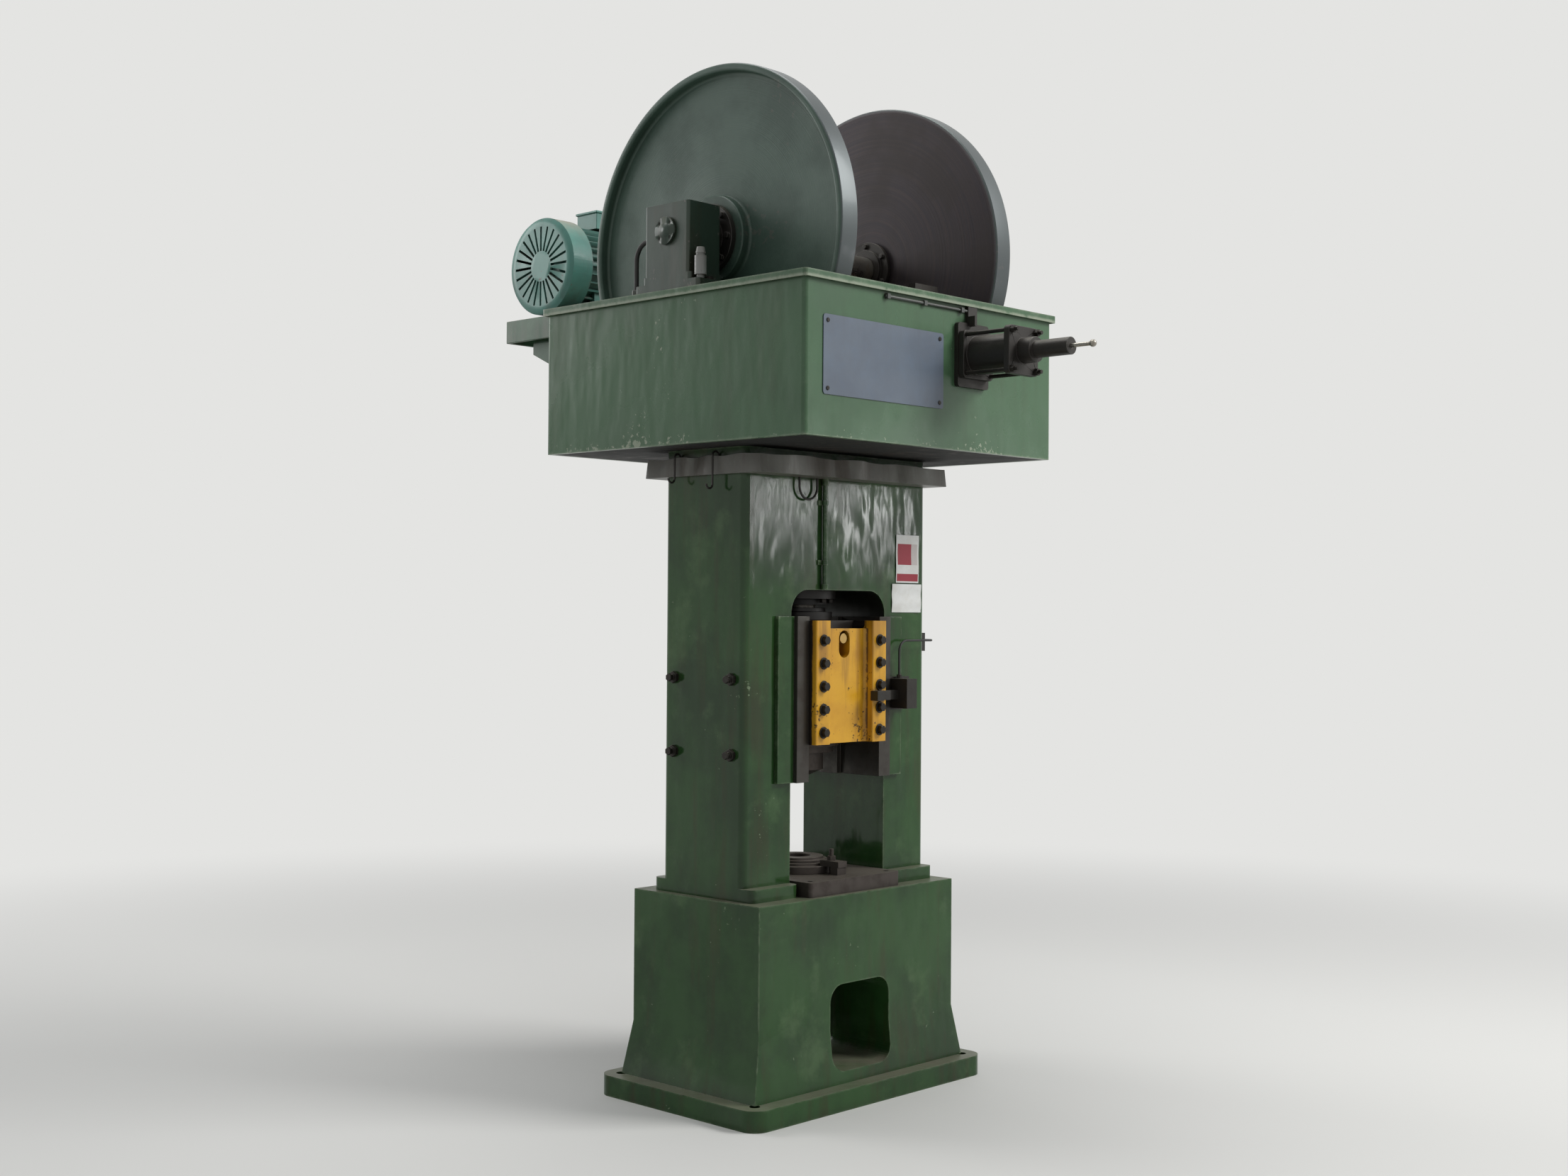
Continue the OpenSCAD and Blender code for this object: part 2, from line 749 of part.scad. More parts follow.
// The shoe is a tall back plate; its lining bears on the rim when the brake is on
module brake_shoe() {
    back_drop = 60;
    back_z0 = brake_z - back_drop;
    back_top = fly_top_z + 4;
    pad_z0 = fly_top_z - fly_rim_h + 4;
    pad_r = fly_d / 2 + slide_gap;
    pin_y = -crown_y + crown_t + brake_travel + 4;
    pad_end_y = -sqrt(pow(pad_r, 2) - pow(brake_x + shoe_w / 2, 2));
    color("#4d4a45") {
        translate([brake_x - shoe_w / 2, shoe_back_y, back_z0])
            cube([shoe_w, shoe_back_t, back_top - back_z0]);
        translate([0, 0, pad_z0]) linear_extrude(fly_rim_h - 8) difference() {
            translate([brake_x - shoe_w / 2, shoe_back_y + shoe_back_t - 1])
                square([shoe_w, pad_end_y - shoe_back_y - shoe_back_t + 1]);
            circle(pad_r);
        }
        translate([brake_x, 0, guide_pin_z])
            rod_y(pin_y, shoe_back_y + 1 - pin_y, guide_pin_d);
    }
}

module air_pipe() {
    pipe_d = 10;
    pipe_z = crown_top - 40;
    pipe_x0 = -270;
    color("#3b3f3c") translate([0, -crown_y - pipe_d / 2, pipe_z]) {
        rod_x(pipe_x0, brake_x - 24 - pipe_x0, pipe_d);
        for (x = [pipe_x0 + 4, pipe_x0 + 190, brake_x - 60]) translate([x, -pipe_d / 2 - 3, -8])
            cube([14, pipe_d + 3, 16]);
    }
}

// DISC DRIVE

// A pedestal: an upright block with a bolted foot and a bore along X for its quill
module pedestal(x0, x1, bore_x0, bore_x1) {
    mid = (x0 + x1) / 2;
    flange_y = 48;
    foot_y = 10;
    difference() {
        union() {
            translate([mid, 0, crown_top]) round_block(x1 - x0, ped_w, ped_top - crown_top, 10);
            translate([mid, 0, crown_top]) round_block(x1 - x0, ped_w + 2 * flange_y, ped_flange_t, 12);
            translate([mid, 0, crown_top]) round_block(x1 - x0, ped_w + 2 * foot_y, ped_foot, 12);
        }
        translate([0, 0, shaft_z]) rod_x(bore_x0, bore_x1 - bore_x0, quill_d + 2 * fit_gap);
    }
}

module pedestal_left() {
    color("#3f6b4a") pedestal(-ped_out_left, -ped_in_left, -quill_out_left - 6, -ped_in_left + 1);
}

module pedestal_right() {
    color("#3f6b4a") pedestal(ped_in_right, ped_out_right, ped_in_right - 1, ped_out_right + 1);
}

// Round cap over the shift cylinder, with four socket screws
module bearing_cap() {
    cap_d = 92;
    rim_h = 10;
    face_h = 14;
    rim_w = 22;
    screw_in = 12;
    socket_d = 11;
    color("#4a7a57") translate([-ped_out_left, 0, shaft_z]) rotate([0, -90, 0]) difference() {
        union() {
            cylinder(h = rim_h, d = cap_d);
            cylinder(h = face_h, d = cap_d - 2 * rim_w);
        }
        around(4, cap_d - 2 * screw_in, 45) translate([0, 0, rim_h / 2])
            cylinder(h = rim_h / 2 + 1, d = socket_d);
    }
}

module lubricator() {
    color("#a9aba6") translate([-ped_out_left + 26, -ped_w / 2 - 32, crown_top + ped_flange_t]) {
        cylinder(h = 12, d = 26);
        translate([0, 0, 12]) cylinder(h = 62, d = 40);
        translate([0, 0, 74]) cylinder(h = 8, d = 30);
        translate([0, 0, 82]) cylinder(h = 20, d1 = 34, d2 = 26);
    }
}

// Air hose from the pedestal's back, down to a gland in the lid
module shift_hose() {
    hose_d = 16;
    bend = 60;
    hose_z = shaft_z - 15;
    hose_x = -ped_out_left + 30;
    color("#161616") translate([hose_x, ped_w / 2, 0]) {
        translate([0, 0, hose_z]) rotate([-90, 0, 0]) cylinder(h = 14, d = 26);
        translate([0, 14, hose_z - bend]) rotate([0, -90, 0]) rotate([0, 0, 0])
            rotate_extrude(angle = 90) translate([bend, 0]) circle(d = hose_d);
        translate([0, 14 + bend, crown_top]) cylinder(h = hose_z - bend - crown_top, d = hose_d);
        translate([0, 14 + bend, crown_top]) cylinder(h = 22, d = 28);
    }
}

module quills() {
    color("#8f8f88") translate([0, 0, shaft_z]) difference() {
        union() {
            rod_x(-quill_out_left, quill_out_left - ped_in_left - shift - 1, quill_d);
            rod_x(ped_in_right + shift + 1, ped_out_right - ped_in_right - 2 * shift - 2, quill_d);
        }
        rod_x(-quill_out_left - 1, quill_out_left + ped_out_right + 2, journal_d + 2 * fit_gap);
    }
}

module disc_shaft() {
    left_shoulder = -ped_in_left - shift - 1 + slide_gap;
    right_shoulder = ped_in_right + shift + 1 - slide_gap;
    color("#9a9a94") translate([0, 0, shaft_z]) {
        rod_x(left_shoulder, right_shoulder - left_shoulder, shaft_d);
        rod_x(-quill_out_left + 4, quill_out_left, journal_d);
        rod_x(0, pulley_x + pulley_w + 14, journal_d);
    }
}

// Half section of a disc in radius and width: a flat friction face and, behind it,
// a rounded rim and a hub boss
module disc_section() {
    web_t = 34;
    rim_w = 66;
    edge_r = 12;
    r = disc_d / 2;
    boss_r = 150;
    bore_r = shaft_d / 2 + seat_gap;
    difference() {
        union() {
            translate([bore_r, 0]) square([r - bore_r, web_t]);
            translate([r - rim_w, 0]) square([rim_w, disc_t - edge_r]);
            translate([r - rim_w + edge_r, 0]) square([rim_w - 2 * edge_r, disc_t]);
            for (x = [r - rim_w + edge_r, r - edge_r]) translate([x, disc_t - edge_r]) circle(edge_r);
            translate([bore_r, 0]) square([boss_r - bore_r, disc_t]);
        }
        translate([r - 4, -1]) square([5, 5]);
    }
}

module disc_left() {
    color("#5d7865") translate([-disc_in, 0, shaft_z]) rotate([0, -90, 0]) rotate_extrude() disc_section();
}

module disc_right() {
    color("#5d7865") translate([disc_in, 0, shaft_z]) rotate([0, 90, 0]) rotate_extrude() disc_section();
}

// The bolted outer hub of the left disc and the inner hub of the right disc
module disc_hubs() {
    color("#2b2d2b") translate([0, 0, shaft_z]) {
        translate([-disc_out, 0, 0]) rotate([0, -90, 0]) {
            ring(hub_left_d, shaft_d + 2 * seat_gap, 20);
            ring(150, shaft_d + 2 * seat_gap, hub_t);
            around(8, hub_left_d - 36) translate([0, 0, 19]) hex_head(20, 12);
        }
        translate([disc_in, 0, 0]) rotate([0, -90, 0]) {
            ring(hub_right_d, shaft_d + 2 * seat_gap, 16);
            ring(150, shaft_d + 2 * seat_gap, hub_in_t);
            around(6, hub_right_d - 30) translate([0, 0, 15]) hex_head(17, 10);
        }
    }
}

module shaft_pulley() {
    spokes = 6;
    scallop_d = 108;
    color("#55605a") translate([pulley_x, 0, shaft_z]) rotate([0, 90, 0]) {
        ring(pulley_d, pulley_d - 36, pulley_w);
        ring(150, journal_d + 2 * seat_gap, pulley_w);
        translate([0, 0, pulley_w / 2 - 12]) difference() {
            ring(pulley_d - 30, 140, 24);
            around(spokes, pulley_d - 5, 30) translate([0, 0, -1]) cylinder(h = 26, d = scallop_d);
        }
    }
}

// An arc of belt round a pulley: it starts at angle a0 and turns through a
module belt_arc(r, a0, a) {
    rotate(a0) rotate_extrude(angle = a) translate([r, 0]) square([belt_t, belt_w]);
}

// A taut belt: an arc round each pulley and two straight runs that leave the arcs at their tangent points
module drive_belt() {
    ra = pulley_d / 2 + slide_gap;
    rb = motor_pulley_d / 2 + slide_gap;
    rise = motor_z - shaft_z;
    span = sqrt(motor_y * motor_y + rise * rise);
    lean = acos((ra - rb) / span);
    run = span * sin(lean);
    color("#5a4632") translate([belt_x - belt_w / 2, 0, shaft_z]) rotate([90, 0, 90])
        rotate(atan2(rise, motor_y)) {
            belt_arc(ra, lean, 360 - 2 * lean);
            translate([span, 0, 0]) belt_arc(rb, -lean, 2 * lean);
            rotate(lean) translate([ra, -run, 0]) cube([belt_t, run, belt_w]);
            rotate(-lean) translate([ra, 0, 0]) cube([belt_t, run, belt_w]);
        }
}

// MOTOR

module motor_platform() {
    plate = 14;
    web = 10;
    w = platform_x1 - platform_x0;
    d = platform_y1 - platform_y0;
    color("#3f6b4a") translate([platform_x0, platform_y0, platform_top - platform_h]) difference() {
        cube([w, d, platform_h]);
        translate([web, web, -1]) cube([w / 2 - 1.5 * web, d - 2 * web, platform_h - plate + 1]);
        translate([w / 2 + web / 2, web, -1]) cube([w / 2 - 1.5 * web, d - 2 * web, platform_h - plate + 1]);
    }
}

module platform_brackets() {
    t = 24;
    hole_d = 96;
    root_h = 330;
    root_top = lid_z - 10;
    reach = platform_y1 - crown_y - 120;
    top = platform_top - platform_h;
    color("#3f6b4a") for (x = [platform_x0 + 40, platform_x1 - 64]) translate([x, crown_y, 0]) {
        difference() {
            rotate([90, 0, 90]) linear_extrude(t)
                polygon([[0, root_top - root_h], [0, root_top], [lid_over + 6, root_top],
                    [lid_over + 6, top], [reach, top], [reach, top - 50], [20, root_top - root_h]]);
            translate([-1, 190, top - 105]) rotate([0, 90, 0]) cylinder(h = t + 2, d = hole_d);
        }
        translate([-30, 0, root_top - root_h]) cube([t + 60, 12, root_h]);
    }
}

module motor_body() {
    fins = 32;
    core_d = 300;
    foot_l = 90;
    foot_w = 340;
    feet = [motor_body_x + 60, motor_body_x + motor_body_l - 60 - foot_l];
    color("#3f8a7c") difference() {
        translate([0, motor_y, motor_z]) {
            rod_x(motor_body_x, motor_body_l, core_d);
            rod_x(motor_body_x, 26, cowl_d - 2 * cowl_t - 2 * seat_gap);
            rod_x(motor_body_x + motor_body_l - 26, 26, motor_d - 6);
            for (i = [0:fins - 1]) rotate([i * 360 / fins, 0, 0])
                translate([motor_body_x + 20, -2, 0]) cube([motor_body_l - 40, 4, motor_d / 2]);
            for (x = feet) {
                translate([x, -foot_w / 2, -motor_foot_h]) cube([foot_l, foot_w, 20]);
                for (s = [-1, 1]) translate([x + 20, s * 118 - 14, -motor_foot_h])
                    cube([foot_l - 40, 28, motor_foot_h - 84]);
            }
        }
        translate([0, motor_y, motor_z])
            rod_x(motor_body_x + motor_body_l - 40, 41, motor_shaft_d + 2 * fit_gap);
    }
}

module motor_cowl() {
    slots = 24;
    color("#3f8a7c") translate([motor_end_x, motor_y, motor_z]) rotate([0, 90, 0]) difference() {
        union() {
            translate([0, 0, 10]) cylinder(h = cowl_l - 10, d = cowl_d);
            cylinder(h = 11, d1 = cowl_d - 16, d2 = cowl_d);
        }
        translate([0, 0, 14]) cylinder(h = cowl_l, d = cowl_d - 2 * cowl_t);
        for (i = [0:slots - 1]) rotate(i * 360 / slots)
            translate([60, -5, -1]) cube([96, 10, 16]);
    }
}

module terminal_box() {
    color("#3f8a7c") translate([motor_body_x + 150, motor_y - 60, motor_z + motor_d / 2]) {
        cube([130, 120, 64]);
        translate([-5, -5, 64]) cube([140, 130, 10]);
    }
}

// The motor's shaft and flat-belt pulley
module motor_pulley() {
    x0 = motor_body_x + motor_body_l;
    color("#55605a") translate([0, motor_y, motor_z]) {
        rod_x(x0 - 36, belt_x + pulley_w / 2 + 8 - x0 + 36, motor_shaft_d);
        translate([pulley_x, 0, 0]) rotate([0, 90, 0]) difference() {
            cylinder(h = pulley_w, d = motor_pulley_d);
            translate([0, 0, pulley_w - 24]) ring(motor_pulley_d - 24, motor_shaft_d + 26, 30);
        }
    }
}

// RAM

// Outline of the notch across the ram's top, in X and Z, with round lower corners
module notch_outline() {
    r = 14;
    half = ram_w / 2 - strip_w;
    translate([-half + r, 0]) square([2 * half - 2 * r, notch_h + 1]);
    translate([-half, r]) square([2 * half, notch_h - r + 1]);
    for (s = [-1, 1]) translate([s * (half - r), r]) circle(r = r);
}

// Fillet that runs up the panel beside the right strip, in X and Y
module panel_fillet() {
    translate([ram_w / 2 - strip_w - fillet_r, -ram_d / 2 - fillet_r]) difference() {
        square([fillet_r, fillet_r + 1]);
        circle(r = fillet_r);
    }
}

module ram_body() {
    color("#e1a023") difference() {
        union() {
            translate([0, 0, ram_z]) round_block(ram_w, ram_d, ram_h, 8);
            for (s = [0, 1]) mirror([s, 0, 0])
                translate([0, 0, ram_z]) linear_extrude(ram_h - notch_h) panel_fillet();
        }
        for (s = [-1, 1]) translate([s * ram_w / 2, 0, ram_z - 1])
            linear_extrude(ram_h + 2)
                square([2 * (groove_d + slide_gap), tongue_w + 2 * slide_gap], center = true);
        translate([0, 0, stem_z0 - slide_gap]) cylinder(h = ram_h, d = stem_d + 2 * fit_gap);
        translate([0, 0, collar_z - slide_gap]) cylinder(h = ram_h, d = collar_d + 2 * slide_gap);
        translate([0, notch_d - ram_d / 2, ram_top - notch_h])
            rotate([90, 0, 0]) linear_extrude(notch_d + fillet_r + 1) notch_outline();
        translate([0, -ram_d / 2 + slot_depth, slot_z]) rotate([90, 0, 0]) linear_extrude(slot_depth + 1) {
            square([slot_w, slot_h - slot_w], center = true);
            for (s = [-1, 1]) translate([0, s * (slot_h - slot_w) / 2]) circle(d = slot_w);
        }
    }
}

module ram_strips() {
    color("#e1a023") for (s = [0, 1]) mirror([s, 0, 0])
        translate([ram_w / 2 - strip_w / 2, strip_y, ram_z]) rotate([0, 0, 0])
            translate([0, -strip_t / 2, 0]) round_block(strip_w, strip_t, ram_h, 5);
}

module ram_bolts() {
    washer_t = 4;
    washer_d = strip_bolt_af + 13;
    head_h = 15;
    color("#26241f") for (x = [-strip_bolt_x, strip_bolt_x], z = strip_bolt_zs)
        translate([x, strip_y - strip_t, z]) rotate([90, 0, 0]) {
            cylinder(h = washer_t, d = washer_d);
            translate([0, 0, washer_t]) hex_head(strip_bolt_af, head_h);
        }
}

module ram_pin() {
    color("#b07a2a") translate([0, -ram_d / 2 + 4, slot_z + (slot_h - slot_w) / 2])
        rod_y(0, slot_depth - 4, pin_d);
}

module ram_cap() {
    color("#3a3a38") translate([0, 0, ram_top]) difference() {
        union() {
            cylinder(h = cap_t - 14, d = 236);
            cylinder(h = cap_t, d = 190);
        }
        translate([0, 0, -1]) cylinder(h = cap_t + 2, d = neck_d + 2 * slide_gap);
    }
}

module upper_die_holder() {
    color("#4a4743") translate([0, 0, ram_z - holder_t]) {
        cylinder(h = holder_t, d = holder_d - 40);
        translate([0, 0, holder_t - 18]) cylinder(h = 18, d = holder_d);
    }
}

module upper_die() {
    z1 = ram_z - holder_t;
    color("#3c3a38") translate([0, 0, z1 - punch_h]) {
        translate([0, 0, 30]) cylinder(h = punch_h - 30, d = 180);
        translate([0, 0, 8]) cylinder(h = 23, d1 = punch_d, d2 = 180);
        cylinder(h = 9, d = punch_d);
    }
}

// SCREW

module screw() {
    color("#8d8b84") {
        translate([0, 0, stem_z0]) cylinder(h = collar_z - stem_z0 + 1, d = stem_d);
        translate([0, 0, collar_z]) cylinder(h = collar_h - slide_gap, d = collar_d);
        translate([0, 0, collar_z]) cylinder(h = thread_z0 - collar_z + 1, d = neck_d);
        translate([0, 0, thread_z0]) cylinder(h = thread_top - thread_z0, d = screw_d);
        translate([0, 0, thread_top]) cylinder(h = fly_hub_z0 - thread_top, d = screw_d - 8);
        translate([0, 0, fly_hub_z0 - 1]) cylinder(h = fly_hub_top - fly_hub_z0 + 1, d = seat_d);
        translate([0, 0, fly_hub_top - 1]) cylinder(h = lock_h + 4, d = lock_d - 42);
    }
}

module flywheel() {
    web_z = fly_top_z - fly_rim_h / 2 - 24;
    rim_t = 74;
    color("#4c4f4c") difference() {
        union() {
            translate([0, 0, fly_top_z - fly_rim_h]) ring(rim_in_d, rim_in_d - 2 * rim_t, fly_rim_h);
            translate([0, 0, fly_hub_z0]) cylinder(h = fly_hub_top - fly_hub_z0, d = fly_hub_d);
            translate([0, 0, web_z]) cylinder(h = 40, d = rim_in_d - 2 * rim_t + 2);
        }
        translate([0, 0, fly_hub_z0 - 1])
            cylinder(h = fly_hub_top - fly_hub_z0 + 2, d = seat_d + 2 * seat_gap);
        around(6, (rim_in_d - 2 * rim_t + fly_hub_d) / 2, 30) translate([0, 0, web_z - 1])
            cylinder(h = 42, d = 84);
    }
}

module rim_lining() {
    color("#5a4632") translate([0, 0, fly_top_z - fly_rim_h])
        ring(fly_d, rim_in_d + 2 * seat_gap, fly_rim_h);
}

module lock_nut() {
    color("#3a3a38") translate([0, 0, fly_hub_top]) difference() {
        cylinder(h = lock_h, d = lock_d);
        translate([0, 0, -1]) cylinder(h = lock_h + 2, d = lock_d - 42 + 2 * seat_gap);
        for (a = [0:90:270]) rotate(a) translate([lock_d / 2 - 7, -6, 12]) cube([10, 12, lock_h]);
    }
}

// EJECTOR AND SWITCH

module ejector_cylinder() {
    color("#3a3f3c") translate([0, 0, tunnel_z - ejector_cyl_h]) difference() {
        union() {
            cylinder(h = ejector_cyl_h, d = ejector_cyl_d);
            translate([0, 0, ejector_cyl_h - 20]) cylinder(h = 20, d = tunnel_w - 2 * tunnel_r - 4);
        }
        translate([0, 0, 16]) cylinder(h = ejector_cyl_h - 40, d = ejector_cyl_d - 30);
        translate([0, 0, ejector_cyl_h - 30]) cylinder(h = 40, d = ejector_d + 2 * fit_gap);
    }
}

module ejector_pin() {
    piston_z = tunnel_z - ejector_cyl_h + 24;
    tip_z = die_top - impression_h - 0.5;
    color("#8a8c8a") {
        translate([0, 0, piston_z]) cylinder(h = 40, d = ejector_cyl_d - 31);
        translate([0, 0, piston_z]) cylinder(h = tip_z - piston_z, d = ejector_d);
    }
}

// Switch block on the right column, its arm beside the ram, and a junction box round the corner
module sensor_bracket() {
    plate_t = 12;
    block_w = 54;
    block_y = 78;
    block_h = 104;
    arm_x0 = ram_w / 2 + 3;
    arm = 32;
    arm_out = 64;
    arm_y = -face_y - arm_out;
    box_t = 30;
    box_d = 62;
    box_h = 66;
    y0 = -face_y - pad_t;
    wing_w = 50;
    foot_rise = 6;
    plate_h = block_h + 2 * foot_rise;
    hole_in = 18;
    hole_d = 14;
    hole_depth = 6;
    box_over = 26;
    color("#1c1d1c") {
        difference() {
            union() {
                translate([sensor_x, y0 - plate_t, bracket_z]) cube([block_w + wing_w, plate_t, plate_h]);
                translate([sensor_x, y0 - block_y - plate_t, bracket_z + foot_rise])
                    cube([block_w, block_y + 1, block_h]);
                translate([arm_x0, arm_y, bracket_z + dog_rise])
                    cube([sensor_x - arm_x0 + 1, arm, arm]);
            }
            for (z = [hole_in, plate_h - hole_in])
                translate([sensor_x + block_w + wing_w - hole_in - 2, 0, bracket_z + z])
                    rod_y(y0 - plate_t - 1, hole_depth + 1, hole_d);
        }
        translate([frame_w / 2, -box_face_y, cable_top - box_h + box_over])
            cube([box_t, box_d, box_h]);
    }
}

// Striker dog on the ram's right strip; it faces the switch arm
module ram_dog() {
    dog_h = 32;
    dog_l = 46;
    dog_t = 26;
    dog_in = 52;
    head_l = 34;
    head_in = 84;
    front_y = strip_y - strip_t;
    color("#1c1d1c") translate([0, front_y, bracket_z + dog_rise]) {
        translate([ram_w / 2 - dog_in, -dog_t, 0]) cube([dog_l, dog_t, dog_h]);
        translate([ram_w / 2 - head_in, -head_l, -1]) cube([head_l, head_l, dog_h + 2]);
    }
}

// Cable of the switch: up from the block, along the column and round its corner to the junction box
module sensor_cable() {
    d = 8;
    bend = 40;
    x0 = sensor_x + block_mid;
    box_mid = 15;
    gland_d = 16;
    gland_h = 14;
    block_top = 110;
    x1 = frame_w / 2 + box_mid - bend;
    z0 = bracket_z + block_top;
    z1 = cable_top - bend;
    color("#161616") translate([0, -face_y - cable_out, 0]) {
        translate([x0, 0, z0]) cylinder(h = z1 - z0, d = d);
        translate([x0 + bend, 0, z1]) rotate([90, 0, 0]) rotate([0, 0, 90])
            rotate_extrude(angle = 90) translate([bend, 0]) circle(d = d);
        translate([0, 0, cable_top]) rod_x(x0 + bend, x1 - x0 - bend, d);
        translate([x1, bend, cable_top]) rotate([0, 0, -90])
            rotate_extrude(angle = 90) translate([bend, 0]) circle(d = d);
        translate([x1 + bend, 0, cable_top]) rod_y(bend, face_y + cable_out - box_face_y - bend, d);
        translate([x0, 0, z0]) cylinder(h = gland_h, d = gland_d);
    }
}

frame_casting();
bolster_plate();
bolster_screws();
lower_die_holder();
lower_die();
die_clamps();
guide_gibs();
guide_pads();
gib_bolts();
screw_nut();
nut_bolts();
buffer_ring();
crown_floor();
crown_shell();
crown_lid();
crown_fasteners();
gutter();
gutter_hooks();
lube_pipe();
nameplate();
brake_flange();
brake_cylinder();
brake_tie_rods();
air_pipe();
pedestal_left();
pedestal_right();
bearing_cap();
lubricator();
shift_hose();
motor_platform();
platform_brackets();
motor_body();
motor_cowl();
terminal_box();
drive_belt();
sensor_bracket();
ejector_cylinder();
ram_body();
ram_strips();
ram_bolts();
ram_pin();
ram_cap();
upper_die_holder();
upper_die();
screw();
flywheel();
rim_lining();
lock_nut();
quills();
disc_shaft();
disc_left();
disc_right();
disc_hubs();
shaft_pulley();
motor_pulley();
brake_rod();
brake_shoe();
ejector_pin();
ram_dog();
sensor_cable();
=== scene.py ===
"""Looks of the stamping press: materials, fine surfaces, floor, light and camera.

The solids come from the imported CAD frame. Every class below dresses one sub-assembly, either with a
bevelled copy of a CAD piece or with a surface computed in numpy from the same sizes, in metres.
"""

import json
import logging
import math
from dataclasses import dataclass, field
from enum import Enum

import bmesh
import bpy
import numpy as np
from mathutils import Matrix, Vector


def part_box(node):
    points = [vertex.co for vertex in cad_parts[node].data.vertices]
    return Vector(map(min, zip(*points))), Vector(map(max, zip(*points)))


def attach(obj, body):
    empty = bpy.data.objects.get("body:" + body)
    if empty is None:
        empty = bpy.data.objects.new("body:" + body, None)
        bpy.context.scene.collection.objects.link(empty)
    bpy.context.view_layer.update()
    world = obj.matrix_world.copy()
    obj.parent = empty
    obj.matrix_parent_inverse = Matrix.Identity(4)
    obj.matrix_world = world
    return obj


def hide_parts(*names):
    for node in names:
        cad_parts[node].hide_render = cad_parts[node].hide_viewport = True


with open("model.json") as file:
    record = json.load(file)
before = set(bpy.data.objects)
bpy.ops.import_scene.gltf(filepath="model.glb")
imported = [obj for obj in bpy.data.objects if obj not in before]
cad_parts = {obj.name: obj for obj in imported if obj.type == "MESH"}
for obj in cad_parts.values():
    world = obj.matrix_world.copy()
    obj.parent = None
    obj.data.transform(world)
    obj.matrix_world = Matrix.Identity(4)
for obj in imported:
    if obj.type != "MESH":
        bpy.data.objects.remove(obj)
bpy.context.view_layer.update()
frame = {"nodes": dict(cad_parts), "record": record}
log = logging.getLogger("press")

Color = tuple[float, float, float, float]
Point = tuple[float, float, float]
Pair = tuple[float, float]
Rod = tuple[float, float, float, float, int]
Coordinate = float | np.ndarray

TURN = 2 * math.pi
MERGE_DISTANCE = 1e-5
FLAT_DEPTH = 1e-4
FLAT_ANGLE = math.radians(0.5)
FAR_BELOW = -9.0
SHAFT_Z = 2.905
COAT_ROUGHNESS = 0.12
SHARP_ANGLE = math.radians(32)

# Widths of rounded edges, in metres, and the steps of the finer ones
NO_EDGE = 0.0
WIRE_EDGE = 0.0006
TRIM_EDGE = 0.0008
BOLT_EDGE = 0.001
TOOL_EDGE = 0.0015
STEEL_EDGE = 0.002
PLATE_EDGE = 0.003
CASTING_EDGE = 0.004
FINE_STEPS = 3


def srgb(red: float, green: float, blue: float) -> Color:
    """Turn a screen colour into the linear colour that a shader takes.

    Args:
        red, green, blue: Values from 0 to 255.

    Returns:
        Linear red, green, blue and an alpha of 1.
    """
    screen = np.array([red, green, blue]) / 255.0
    linear = np.where(screen <= 0.04045, screen / 12.92, ((screen + 0.055) / 1.055) ** 2.4)
    return (*linear.tolist(), 1.0)


# Shader effects


class Effect(Enum):
    """The shared shader groups, by the name each has in the file."""

    EDGES = "edge wear"
    # Painted shade and oily dirt in crevices, from ambient occlusion
    CREVICE = "crevice grime"
    CLOUDS = "clouds"
    STREAKS = "vertical streaks"
    SETTLED = "settled dust"
    CHIPS = "chipped spots"
    RADIUS = "disc radius"
    RINGS = "turned rings"
    GRAIN = "cast grain"
    # Oily sliding sides of the ram, and painted shade in its top notch
    SLIDING = "sliding faces"
    # Painted shade: near-black inside the frame's arch
    HOLLOW = "painted hollow shade"
    WAVES = "long waves"


